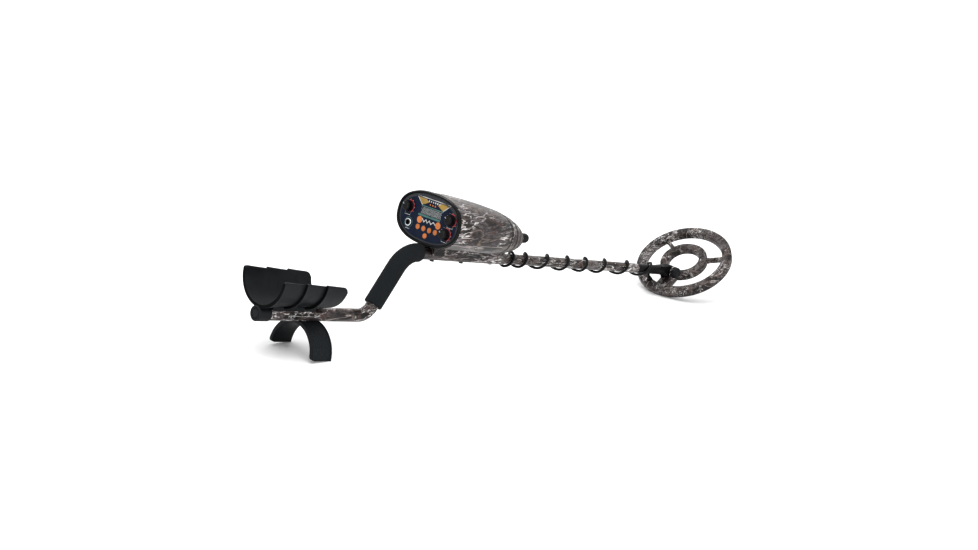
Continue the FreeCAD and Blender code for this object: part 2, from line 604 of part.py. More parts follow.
def make_saddle(outer):
    """A cradle between the housing and the tube; each side follows its neighbour's shape."""
    solid = block("saddle_block", "dim.saddle_length", "2 * dim.saddle_half_width",
                  "dim.saddle_height", point("dim.saddle_rear_x", "-dim.saddle_half_width",
                                             PIVOT_HEIGHT))
    tools = [outer, rod("saddle_tube", "dim.upper_radius", "dim.saddle_length + 10",
                        point("dim.saddle_rear_x - 5", 0, PIVOT_HEIGHT), DOWN)]
    for name in ("rear", "front"):
        tools.append(rod("saddle_hole_" + name, "dim.screw_hole", "dim.saddle_height",
                         point("dim." + name + "_screw_x", 0, PIVOT_HEIGHT)))
    keep(cut("saddle_cut", solid, join("saddle_tools", tools)), "mount_saddle")


def make_housing_screws():
    """Two pan-headed screws up through the tube and the saddle into the housing's bosses."""
    screws = []
    for name in ("rear", "front"):
        base = point("dim." + name + "_screw_x", 0, "dim.shaft_rise - dim.upper_radius")
        screws.append(rod(name + "_shank", "dim.screw_radius", "dim.screw_length", base))
        screws.append(rod(name + "_head", "dim.screw_head", "dim.screw_head_height",
                          base - Vector(0, 0, size("dim.screw_head_height"))))
    keep(join("screw_solids", screws), "housing_screws")




def make_speaker():
    turned("speaker", [
        (0, 0), (0, "dim.speaker_radius"), (2, "dim.speaker_radius"),
        (6, "dim.speaker_radius * 0.6"), ("dim.speaker_depth", "dim.speaker_radius * 0.6"),
        ("dim.speaker_depth", 0)],
        point("dim.speaker_x", "dim.speaker_y", "dim.speaker_z"), UP)


# ---- front panel ---------------------------------------------------------------------------

def on_panel(y, z):
    return point("dim.panel_x", y, z)


def make_bezel():
    depth = size("dim.bezel_depth")
    half_width, half_height = size("dim.bezel_half_width"), size("dim.bezel_half_height")
    rim = size("dim.bezel_rim")
    back = size("dim.mouth_x") - depth
    outside = plain("bezel_outside", panel_disc(half_width, half_height, back, depth))
    inside = plain("bezel_inside", panel_disc(half_width - rim, half_height - rim, back, depth))
    keep(cut("bezel_ring", outside, inside), "front_bezel")


def make_panel():
    trim = size("dim.bezel_rim + dim.panel_gap")
    sheet = plain("panel_sheet", panel_disc(size("dim.bezel_half_width") - trim,
                                            size("dim.bezel_half_height") - trim,
                                            size("dim.panel_x"), size("dim.panel_thick")))
    through = "dim.panel_thick + 4"
    step = Vector(-2, 0, 0)
    holes = [block("window_hole", through, "dim.window_width", "dim.window_height",
                   on_panel("dim.window_y - dim.window_width / 2",
                            "dim.window_z - dim.window_height / 2") + step)]
    for name, (y, z) in KNOB_PLACES.items():
        holes.append(rod(name + "_hole", "dim.bushing_radius + 0.1", through,
                         on_panel(y, z) + step, DOWN))
    for i, (y, z) in enumerate(BUTTON_PLACES, start=1):
        holes.append(rod(f"button_hole_{i}", "dim.button_hole", through,
                         on_panel(y, z) + step, DOWN))
    holes.append(rod("jack_hole", "dim.jack_barrel + 0.1", through,
                     on_panel("dim.jack_y", "dim.jack_z") + step, DOWN))
    keep(cut("panel_cut", sheet, join("panel_holes", holes)), "control_panel")


def make_display():
    window = new_body("lcd_window", on_panel("dim.window_y", "dim.window_z") + Vector(0.5, 0, 0))
    half_width, half_height = "dim.window_width / 2 - 0.1", "dim.window_height / 2 - 0.1"
    corners = [(f"{a} * ({half_width})", f"{b} * ({half_height})")
               for a, b in ((-1, -1), (1, -1), (1, 1), (-1, 1))]
    pad(window, outline(window, "YZ_Plane", "pane", corners), "dim.window_thick")
    module = new_body("lcd_module", point("dim.panel_x + dim.panel_thick + 0.2", "dim.window_y",
                                          "dim.window_z"))
    corners = [(f"{a} * (dim.window_width / 2 + 4)", f"{b} * (dim.window_height / 2 + 3.5)")
               for a, b in ((-1, -1), (1, -1), (1, 1), (-1, 1))]
    pad(module, outline(module, "YZ_Plane", "block", corners), "dim.module_thick")


def make_boards():
    for label, x, low_y, high_y, low_z, high_z in BOARDS:
        board = new_body(label, point(x, 0, 0))
        edges = [(low_y, low_z), (high_y, low_z), (high_y, high_z), (low_y, high_z)]
        pad(board, outline(board, "YZ_Plane", "board", edges), "dim.board_thick")


def make_knobs():
    """Three control knobs on their shafts, and the potentiometers that they turn."""
    pots = []
    for name, (y, z) in KNOB_PLACES.items():
        place = on_panel(y, z)
        depth = "dim.panel_thick + dim.pot_depth - 1"
        turned(name + "_knob", [
            ("dim.knob_gap", "dim.shaft_radius"), ("dim.knob_gap", "dim.knob_radius"),
            ("dim.knob_height - 1.2", "dim.knob_radius - 0.7"),
            ("dim.knob_height", "dim.knob_radius - 1.9"), ("dim.knob_height", 0),
            ("dim.knob_height - 2", 0), ("dim.knob_height - 2", "dim.shaft_radius")],
            place, ALONG_MINUS_X)
        turned(name + "_shaft", [
            ("-(" + depth + ")", 0), ("-(" + depth + ")", "dim.shaft_radius"),
            ("dim.knob_height - 2", "dim.shaft_radius"), ("dim.knob_height - 2", 0)],
            place, ALONG_MINUS_X)
        can = rod(name + "_can", "dim.pot_radius", "dim.pot_depth",
                  place + Vector(size("dim.panel_thick"), 0, 0), DOWN)
        bushing = rod(name + "_bushing", "dim.bushing_radius", "dim.panel_thick + 1", place, DOWN)
        bore = rod(name + "_bore", "dim.shaft_bore", "dim.panel_thick + dim.pot_depth + 10",
                   place - Vector(5, 0, 0), DOWN)
        pots.append(cut(name + "_pot", join(name + "_pot_solid", [can, bushing]), bore))
    keep(join("pots", pots), "potentiometers")


def make_buttons():
    """Five round touch buttons with a flange behind the panel."""
    flange = "dim.panel_thick"
    for i, (y, z) in enumerate(BUTTON_PLACES, start=1):
        turned(f"touch_button_{i}", [
            ("-(" + flange + ") - 0.9", 0), ("-(" + flange + ") - 0.9", "dim.button_flange"),
            ("-(" + flange + ") - 0.05", "dim.button_flange"),
            ("-(" + flange + ") - 0.05", "dim.button_radius"),
            ("dim.button_height - 0.4", "dim.button_radius"),
            ("dim.button_height", "dim.button_radius - 0.6"), ("dim.button_height", 0)],
            on_panel(y, z), ALONG_MINUS_X)


def make_jack():
    place = on_panel("dim.jack_y", "dim.jack_z")
    turned("headphone_jack", [
        (3, "dim.jack_bore"), (3, "dim.jack_barrel"), ("-(dim.panel_thick)", "dim.jack_barrel"),
        ("-(dim.panel_thick)", "dim.jack_body"), ("-(dim.jack_depth)", "dim.jack_body"),
        ("-(dim.jack_depth)", 0), ("2 - dim.jack_depth", 0), ("2 - dim.jack_depth", "dim.jack_bore")],
        place, ALONG_MINUS_X)
    turned("jack_nut", [
        (0, "dim.jack_barrel"), (0, "dim.jack_nut_radius"), (1.6, "dim.jack_nut_radius"),
        (2.2, "dim.jack_nut_radius - 0.8"), (2.2, "dim.jack_barrel")], place, ALONG_MINUS_X)


# ---- connector and cable -------------------------------------------------------------------

NOSE = point("dim.mouth_x + dim.housing_length", 0, "dim.plug_z")


def make_connector():
    turned("coil_socket", [
        ("-dim.socket_depth", 0), ("-dim.socket_depth", "dim.socket_radius"),
        (1, "dim.socket_radius"), (1, "dim.spigot_radius + 0.1"),
        ("3 - dim.socket_depth", "dim.spigot_radius + 0.1"), ("3 - dim.socket_depth", 0)], NOSE)
    turned("coil_plug", [
        ("4 - dim.socket_depth", 0), ("4 - dim.socket_depth", "dim.spigot_radius"),
        (1.2, "dim.spigot_radius"), (1.2, "dim.plug_radius"),
        ("dim.plug_length - 4", "dim.plug_radius"), ("dim.plug_length - 1", "dim.plug_radius - 1.4"),
        ("dim.plug_length", "dim.plug_radius - 4"), ("dim.plug_length", 0)], NOSE)


def rounded_path(corners):
    """Straight runs through the corners, joined by tangent arcs as large as the runs allow."""
    edges, start = [], corners[0]
    for before, corner, after in zip(corners, corners[1:], corners[2:]):
        into, out = (corner - before), (after - corner)
        turn = into.getAngle(out)
        reach = 0.45 * min(into.Length, out.Length)
        into.normalize()
        out.normalize()
        first, last = corner - into * reach, corner + out * reach
        bisector = (out - into).normalize()
        radius = reach / math.tan(turn / 2)
        centre = corner + bisector * (radius / math.cos(turn / 2))
        edges.append(Part.LineSegment(start, first).toShape())
        edges.append(Part.Arc(first, centre - bisector * radius, last).toShape())
        start = last
    edges.append(Part.LineSegment(start, corners[-1]).toShape())
    return Part.Wire(edges)


def tube_along(corners):
    path = rounded_path(corners)
    heading = corners[1] - corners[0]
    circle = Part.Circle(corners[0], heading, size("dim.cable_radius"))
    solid = path.makePipeShell([Part.Wire(circle.toShape())], True, False)
    ideal = math.pi * size("dim.cable_radius") ** 2 * path.Length
    print(f"cable {path.Length:.0f} mm, volume over section times length {solid.Volume / ideal:.4f}")
    return solid


def on_wrap(x, turn):
    """A place on the winding: turn 0 is the far (left) side, 90 the top, 180 the near side."""
    radius = size("dim.wrap_radius")
    angle = math.radians(turn)
    return Vector(x, radius * math.cos(angle), size(PIVOT_HEIGHT) + radius * math.sin(angle))


def half_wrap(start_x, end_x, start_turn):
    """Half a turn of the winding in steps of an eighth, without its last place."""
    return [on_wrap(start_x + (end_x - start_x) * i / 4, start_turn - 45 * i) for i in range(4)]


def winding():
    places = []
    for i, (bottom, top) in enumerate(zip(WRAP_BOTTOMS, WRAP_TOPS)):
        places += half_wrap(bottom, top, 270)
        if i + 1 < len(WRAP_BOTTOMS):
            places += half_wrap(top, WRAP_BOTTOMS[i + 1], 90)
    return places


def make_cable():
    """The coil's cable: out of the plug, wound round the shaft, down to the coil's gland."""
    places = winding()
    ends = 4 * (2 * len(WRAP_TOPS) - 2) - 2
    joint = (places[ends] + places[ends + 1]) / 2
    lead = [NOSE + Vector(dx, dy, dz) for dx, dy, dz in CABLE_LEAD]
    lead.append(on_wrap(WRAP_BOTTOMS[0] + 1, -45))
    keep(plain("cable_on_shaft", tube_along(lead + places[:ends + 1] + [joint])), "coil_cable")
    over = [on_wrap(WRAP_TOPS[-1] + 5 * i, 90 - 45 * i) for i in range(3)]
    leaving = over[-1] + Vector(5, 2.5, -5)
    keep(plain("cable_on_stem", tube_along([joint] + places[ends + 1:] + over + [leaving])),
         "stem_cable")
    gland = COIL.multVec(gland_place("dim.gland_height"))
    rise = COIL_TURN.multVec(Vector(0, 0, 1))
    tail = [leaving, leaving + Vector(7, 3.5, -7), gland + rise * 12, gland + rise * 0.1]
    keep(plain("cable_to_coil", tube_along(tail)), "cable_tail")


def gland_place(height):
    turn = math.radians(size("dim.gland_angle"))
    reach = size("dim.gland_reach")
    return Vector(reach * math.cos(turn), reach * math.sin(turn),
                  size("dim.coil_half_thick + " + height))


# ---- lower stem ----------------------------------------------------------------------------

def make_lower_stem():
    """The plastic stem: a rod inside the middle tube, a shoulder, and an eye for the coil."""
    body = new_body("lower_stem", point("dim.stem_back_x", 0, PIVOT_HEIGHT))
    shoulder = "dim.middle_end_x + dim.stem_gap - dim.stem_back_x"
    neck = "dim.stem_neck_x - dim.stem_back_x"
    eye = "dim.pivot_x - dim.stem_back_x"
    revolve(body, [
        (0, "dim.stem_bore"), (0, "dim.stem_radius"), (shoulder, "dim.stem_radius"),
        (shoulder, "dim.stem_shoulder"), (neck, "dim.stem_shoulder"), (neck, 0),
        ("dim.stem_bore_depth", 0), ("dim.stem_bore_depth", "dim.stem_bore")])
    cheek = outline(body, "XZ_Plane", "cheek", [
        (neck + " - 8", "-dim.eye_half_width"), (eye + " - 3", "-dim.eye_radius + 0.3"),
        (eye + " - 3", "dim.eye_radius - 0.3"), (neck + " - 8", "dim.eye_half_width")])
    pad(body, cheek, "2 * dim.eye_half_width", both_ways=True)
    end = circles(body, "XZ_Plane", "eye", [(eye, 0, "dim.eye_radius")])
    pad(body, end, "2 * dim.eye_half_width", both_ways=True)
    pocket(body, circles(body, "XZ_Plane", "pivot_hole", [(eye, 0, "dim.pivot_bore")]))
    snap = circles(body, "XY_Plane", "snap_hole", [
        ("dim.stem_snap_x - dim.stem_back_x", 0, "dim.stem_snap_hole")])
    pocket(body, snap, "dim.stem_radius + 1")
    washers = []
    for name, y in (("left", "dim.eye_half_width + 0.05"), ("right", "-dim.ear_gap + 0.1")):
        place = PIVOT + Vector(0, size(y), 0)
        thick = "dim.ear_gap - dim.eye_half_width - 0.15"
        washers.append(cut(name + "_washer", rod(name + "_disc", "dim.washer_radius", thick, place,
                                                 Rotation(X, -90)),
                           rod(name + "_washer_bore", "dim.pivot_bore + 0.1", 3,
                               place - Vector(0, 1, 0), Rotation(X, -90))))
    keep(join("washers", washers), "pivot_washers")


def leaf(body, name, corners):
    """A bent strip of spring steel, drawn from the side."""
    pad(body, outline(body, "XZ_Plane", name, corners), "dim.leaf_width", both_ways=True)


def make_snap_buttons():
    """The sprung button that locks the shaft, and the one-piece snap spring in the stem."""
    top = "dim.shaft_rise - dim.snap_top"
    bottom = "dim.snap_proud + dim.upper_radius - dim.snap_top"
    turned("shaft_button", [
        (0, 0), (0, "dim.snap_radius + dim.edge"), (1, "dim.snap_radius + dim.edge"),
        (1, "dim.snap_radius"), (bottom + " - 1", "dim.snap_radius"),
        (bottom, "dim.snap_radius - 1.4"), (bottom, 0)], point("dim.snap_x", 0, top), DOWN)
    spring = new_body("shaft_button_spring", point("dim.snap_x", 0, top + " + 0.05"))
    leaf(spring, "leaf", [(-11, 0), (5, 0), (5, 0.6), (-8, 0.6), (21, 11.6), (20.8, 12.2), (-11, 0.8)])
    snap = new_body("stem_snap_spring", point("dim.stem_snap_x", 0,
                                              PIVOT_HEIGHT + " - dim.leaf_drop"))
    leaf(snap, "leaf", [(-9, -0.6), (4, -0.6), (4, 0), (-6, 0), (14, 7.6), (13.8, 8.2), (-9, 0.4)])
    pin = circles(snap, "XY_Plane", "pin", [(0, 0, "dim.stem_snap_radius")])
    pad(snap, pin, "dim.middle_radius + 1.3 - dim.leaf_drop").Reversed = True


# ---- coil ----------------------------------------------------------------------------------

def ring(name, outer, inner, height, low):
    place = Vector(0, 0, size(low))
    return cut(name, rod(name + "_outside", outer, height, place),
               rod(name + "_hole", inner, "2 * (" + height + ")",
                   place - Vector(0, 0, size(height) / 2)))


def spokes(name, height, low):
    solids = []
    for angle in SPOKE_ANGLES:
        turn = Rotation(Z, angle)
        corner = turn.multVec(point("dim.hub_outer - 1", "-dim.spoke_width / 2", low))
        solid = block(f"{name}_{angle}", "dim.ring_inner - dim.hub_outer + 2", "dim.spoke_width",
                      height, corner)
        solid.Placement = Placement(corner, turn)
        solids.append(solid)
    return solids


def make_coil():
    """Two rings on three spokes: a shell open below, and the cover that closes it."""
    low = "dim.cover_thick - dim.coil_half_thick"
    tall = "2 * dim.coil_half_thick - dim.cover_thick"
    pivot = point("-dim.coil_reach", 0, "dim.coil_drop")
    solids = [ring("outer_ring", "dim.ring_outer", "dim.ring_inner", tall, low),
              ring("hub_ring", "dim.hub_outer", "dim.hub_inner", tall, low)]
    solids += spokes("spoke", "dim.spoke_thick", low)
    solids.append(block("pedestal", "dim.pedestal_back + dim.pedestal_front",
                        "2 * (dim.ear_gap + dim.ear_thick)", "dim.pedestal_top - (" + low + ")",
                        pivot + point("-dim.pedestal_back", "-dim.ear_gap - dim.ear_thick",
                                      low + " - dim.coil_drop")))
    for name, y in (("left", "dim.ear_gap"), ("right", "-dim.ear_gap - dim.ear_thick")):
        place = pivot + Vector(0, size(y), 0)
        solids.append(rod(name + "_ear", "dim.ear_radius", "dim.ear_thick", place, Rotation(X, -90)))
        solids.append(block(name + "_ear_foot", "2 * dim.ear_radius", "dim.ear_thick",
                            "dim.coil_drop", place - point("dim.ear_radius", 0, "dim.coil_drop")))
    channel = "dim.shell_wall"
    tools = [ring("outer_channel", "dim.ring_outer - " + channel, "dim.ring_inner + " + channel,
                  tall + " - " + channel, low + " - 0.001"),
             ring("hub_channel", "dim.hub_outer - " + channel, "dim.hub_inner + " + channel,
                  tall + " - " + channel, low + " - 0.001"),
             rod("ear_bores", "dim.pivot_bore", 60, pivot - Vector(0, 30, 0), Rotation(X, -90)),
             rod("eye_clearance", "dim.eye_radius + 0.5", "2 * dim.ear_gap",
                 pivot - Vector(0, size("dim.ear_gap"), 0), Rotation(X, -90))]
    keep(cut("coil_shell_cut", join("coil_shell_solid", solids), join("coil_tools", tools)),
         "coil_shell", COIL)
    bottom = "-dim.coil_half_thick"
    cover = [ring("cover_outer", "dim.ring_outer", "dim.ring_inner", "dim.cover_thick", bottom),
             ring("cover_hub", "dim.hub_outer", "dim.hub_inner", "dim.cover_thick", bottom)]
    keep(join("coil_cover_solid", cover + spokes("strip", "dim.cover_thick", bottom)),
         "coil_cover", COIL)
    for label, radius, section in (("transmit_winding", "dim.tx_radius", "dim.tx_section"),
                                   ("receive_winding", "dim.rx_radius", "dim.rx_section")):
        coil = doc.addObject("Part::Torus", label + "_torus")
        coil.setExpression("Radius1", radius)
        coil.setExpression("Radius2", section)
        keep(coil, label, COIL)


def make_coil_hardware():
    ear = "dim.ear_gap + dim.ear_thick"
    turned("coil_bolt", [
        (0, 0), (0, "dim.pivot_bolt + 3.5"), (3.6, "dim.pivot_bolt + 3.5"), (3.6, "dim.pivot_bolt"),
        ("dim.bolt_length", "dim.pivot_bolt"), ("dim.bolt_length", 0)],
        PIVOT + point(0, ear + " + 3.7", 0), ALONG_MINUS_Y)
    turned("coil_knob", [
        (0, "dim.pivot_bore"), (0, "dim.coil_knob_radius"),
        ("dim.coil_knob_height - 2.5", "dim.coil_knob_radius - 0.6"),
        ("dim.coil_knob_height", "dim.coil_knob_radius - 3.5"), ("dim.coil_knob_height", 0),
        ("dim.coil_knob_height - 3", 0), ("dim.coil_knob_height - 3", "dim.pivot_bore")],
        PIVOT - point(0, ear + " + 0.3", 0), ALONG_MINUS_Y)
    turned("cable_gland", [
        (0, 0), (0, 5.5), (2, 5.5), ("dim.gland_height", 3.6), ("dim.gland_height", 0)],
        COIL.multVec(gland_place("0")), COIL_TURN.multiply(UP))


make_upper_shaft()
make_middle_tube()
make_end_cap()
make_grip()
make_arm_cup()
make_stand()
make_arm_bolt()
outer_form = plain("housing_outer", housing_form(0))
inner_form = plain("housing_inner", housing_form(size("dim.wall")))
make_housing(outer_form, inner_form)
make_battery_door(outer_form, inner_form)
make_batteries()
make_saddle(outer_form)
make_housing_screws()
make_speaker()
make_bezel()
make_panel()
make_display()
make_boards()
make_knobs()
make_buttons()
make_jack()
make_connector()
make_cable()
make_lower_stem()
make_snap_buttons()
make_coil()
make_coil_hardware()
doc.recompute()

for thing in doc.Objects:
    if "Invalid" in thing.State or "Error" in thing.State:
        raise RuntimeError(f"{thing.Name} failed: {thing.State}")
for thing in nodes:
    if thing.Shape.isNull() or not thing.Shape.isValid():
        raise RuntimeError(f"{thing.Label} has no valid shape")

os.makedirs("parts", exist_ok=True)
for thing in nodes:
    thing.Shape.exportStep(f"parts/{thing.Label}.step")
    print(thing.Label, len(thing.Shape.Solids), round(thing.Shape.Volume))
print(f"pitch {PITCH:.3f} degrees, standing offset {STANDING.Base}")
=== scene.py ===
import math

import bpy
from mathutils import Matrix, Quaternion, Vector


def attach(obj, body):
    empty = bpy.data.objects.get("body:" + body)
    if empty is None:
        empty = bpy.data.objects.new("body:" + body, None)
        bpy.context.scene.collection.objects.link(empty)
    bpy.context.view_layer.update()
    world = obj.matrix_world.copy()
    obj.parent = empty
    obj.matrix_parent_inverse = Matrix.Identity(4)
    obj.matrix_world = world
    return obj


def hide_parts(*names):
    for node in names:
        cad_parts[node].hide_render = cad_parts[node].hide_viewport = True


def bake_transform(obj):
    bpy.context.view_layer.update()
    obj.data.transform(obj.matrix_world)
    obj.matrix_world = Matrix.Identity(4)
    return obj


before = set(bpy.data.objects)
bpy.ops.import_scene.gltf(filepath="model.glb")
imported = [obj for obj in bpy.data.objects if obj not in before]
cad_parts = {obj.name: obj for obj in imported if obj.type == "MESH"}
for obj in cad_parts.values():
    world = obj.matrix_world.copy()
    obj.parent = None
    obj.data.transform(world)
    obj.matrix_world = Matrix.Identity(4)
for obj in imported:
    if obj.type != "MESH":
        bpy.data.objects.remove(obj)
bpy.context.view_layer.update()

# ---- frames and sizes ----------------------------------------------------------------------
# SHAFT: millimetres, X along the rear and front shaft towards the coil, Y to the user's left.
RISE = 112.0                                # the front shaft's axis over the rear one's
BEND, BEND_RADIUS = math.radians(62.86), 50.0
REAR_BEND_X = 234.75
FRONT_BEND_X = REAR_BEND_X + RISE / math.tan(BEND)
GRIP_END_X = 325.0
PIVOT = Vector((1094.3, 0, RISE))
COIL_TURN = Matrix.Rotation(math.radians(-43), 4, "Y")
COIL_OFFSET = Vector((51.9, 0, -19.5))      # from the pivot to the coil's middle, as it lies flat
COIL_RADIUS, COIL_HALF = 101.6, 8.0
COIL_CENTRE = PIVOT + COIL_TURN.to_3x3() @ COIL_OFFSET
CAP_RADIUS = 12.4
ARM_BOLT_X = 106.0
STAND_RADIUS, STAND_WALL, STAND_DROP = 52.5, 6.3, 61.0
STAND_WIDTH = 42.5
CUP_STEPS = (-0.5, 45.0, 88.0, 137.0)       # where each louvre starts, and the cup's front
CUP_INNER, CUP_LOW, CUP_HIGH = 45.0, 46.4, 50.6
CUP_AXIS_Z = 60.0
CUP_ARC = 72                                # steps round the cup
PANEL_X = 328.3
PANEL_MIDDLE_Z = 170.6
PRINT_X = PANEL_X - 0.02
OUTLINE = 128                               # points round the housing
KNOBS = {"sensitivity": (49, 181), "discrimination": (-51, 181), "notch": (-45.5, 155.6)}
BUTTONS = ((19.4, 152.7), (5.6, 152.7), (-8.2, 152.7), (-22, 152.7), (-1, 141.3))
JACK_Y, JACK_Z = 42.5, 154.6
CABLE_RADIUS, WRAP_RADIUS = 2.45, 13.1
CAMERA_PLACE = Vector((-1399.2, -1571.8, 465.2))
VIEW_AZIMUTH, VIEW_ELEVATION, VIEW_ROLL = -49.74597, 14.31631, 9.18920


def standing():
    """The shaft frame on the ground: feet's front edges and the coil's rear rim touch it."""
    foot = Vector((ARM_BOLT_X + STAND_WIDTH / 2, 0, -STAND_DROP))
    edge = COIL_TURN.to_3x3() @ Vector((COIL_RADIUS, 0, COIL_HALF))
    rim, nose = COIL_CENTRE - edge, COIL_CENTRE + edge
    lean = Matrix.Rotation(math.atan2(rim.z - foot.z, rim.x - foot.x), 3, "Y")
    middle = ((lean @ Vector((0, 0, -CAP_RADIUS))).x + (lean @ nose).x) / 2
    shift = Vector((-middle, 0, -(lean @ foot).z)) / 1000
    return Matrix.Translation(shift) @ lean.to_4x4() @ Matrix.Scale(0.001, 4)


SHAFT = standing()
COIL = SHAFT @ Matrix.Translation(COIL_CENTRE) @ COIL_TURN


# ---- material building ---------------------------------------------------------------------

class Nodes:
    """A small helper for building one procedural material."""

    def __init__(self, name):
        self.material = bpy.data.materials.new(name)
        self.material.use_nodes = True
        self.tree = self.material.node_tree
        self.shader = self.tree.nodes["Principled BSDF"]
        self.coords = self.add("ShaderNodeTexCoord").outputs["Object"]

    def add(self, kind, **inputs):
        node = self.tree.nodes.new(kind)
        for key, value in inputs.items():
            node.inputs[key.replace("_", " ")].default_value = value
        return node

    def link(self, output, target):
        self.tree.links.new(output, target)

    def mapped(self, scale=(1, 1, 1), turn=(0, 0, 0)):
        node = self.add("ShaderNodeMapping", Scale=scale, Rotation=turn)
        self.link(self.coords, node.inputs["Vector"])
        return node.outputs["Vector"]

    def noise(self, scale, detail=4.0, distortion=0.0, vector=None, rough=0.55):
        node = self.add("ShaderNodeTexNoise", Scale=scale, Detail=detail, Distortion=distortion,
                        Roughness=rough)
        self.link(vector or self.coords, node.inputs["Vector"])
        return node.outputs["Fac"]

    def cells(self, scale, vector=None):
        node = self.add("ShaderNodeTexVoronoi", Scale=scale)
        self.link(vector or self.coords, node.inputs["Vector"])
        return node.outputs["Distance"]

    def ramp(self, value, stops):
        node = self.tree.nodes.new("ShaderNodeValToRGB")
        elements = node.color_ramp.elements
        while len(elements) < len(stops):
            elements.new(0.5)
        for element, (place, colour) in zip(elements, stops):
            element.position = place
            element.color = (*colour, 1)
        self.link(value, node.inputs["Fac"])
        return node.outputs["Color"]

    def mix(self, factor, first, second, mode="MIX"):
        node = self.tree.nodes.new("ShaderNodeMix")
        node.data_type = "RGBA"
        node.blend_type = mode
        for socket, value in ((0, factor), (6, first), (7, second)):
            if isinstance(value, bpy.types.NodeSocket):
                self.link(value, node.inputs[socket])
            else:
                node.inputs[socket].default_value = value if socket == 0 else (*value, 1)
        return node.outputs[2]

    def spread(self, value, low, high):
        node = self.tree.nodes.new("ShaderNodeMapRange")
        node.inputs["To Min"].default_value = low
        node.inputs["To Max"].default_value = high
        self.link(value, node.inputs["Value"])
        return node.outputs["Result"]

    def bump(self, height, depth, strength=1.0, after=None):
        node = self.tree.nodes.new("ShaderNodeBump")
        node.inputs["Distance"].default_value = depth
        node.inputs["Strength"].default_value = strength
        self.link(height, node.inputs["Height"])
        if after is not None:
            self.link(after, node.inputs["Normal"])
        return node.outputs["Normal"]

    def finish(self, colour, roughness, normal, **constants):
        self.link(colour, self.shader.inputs["Base Color"])
        self.link(roughness, self.shader.inputs["Roughness"])
        self.link(normal, self.shader.inputs["Normal"])
        for key, value in constants.items():
            self.shader.inputs[key.replace("_", " ")].default_value = value
        return self.material


def grained(name, colour, rough, grain, depth, wear, shine=0.5, worn=None, metal=0.0):
    """A moulded, cast or turned surface: fine grain, blotchy tone, worn and dusty places."""
    n = Nodes(name)
    blotch = n.noise(35, 5, 0.6)
    fine = n.noise(grain, 6)
    dust = n.noise(9, 8, 0.4)
    dark = tuple(c * 0.72 for c in colour)
    pale = tuple(min(1, c * 1.35 + 0.004) for c in colour)
    tone = n.ramp(blotch, ((0.32, dark), (0.68, pale)))
    speck = n.mix(n.spread(fine, 0.0, 0.35), tone, pale)
    worn = worn or tuple(min(1, c * 1.6 + 0.03) for c in colour)
    patches = n.spread(n.ramp(dust, ((0.48, (0, 0, 0)), (0.72, (1, 1, 1)))), 0.0, wear)
    base = n.mix(patches, speck, worn)
    roughness = n.spread(blotch, max(0.03, rough - 0.1), min(1, rough + 0.1))
    normal = n.bump(fine, depth, 0.7, n.bump(blotch, 0.0002, 0.25))
    return n.finish(base, roughness, normal, Metallic=metal, Specular_IOR_Level=shine)


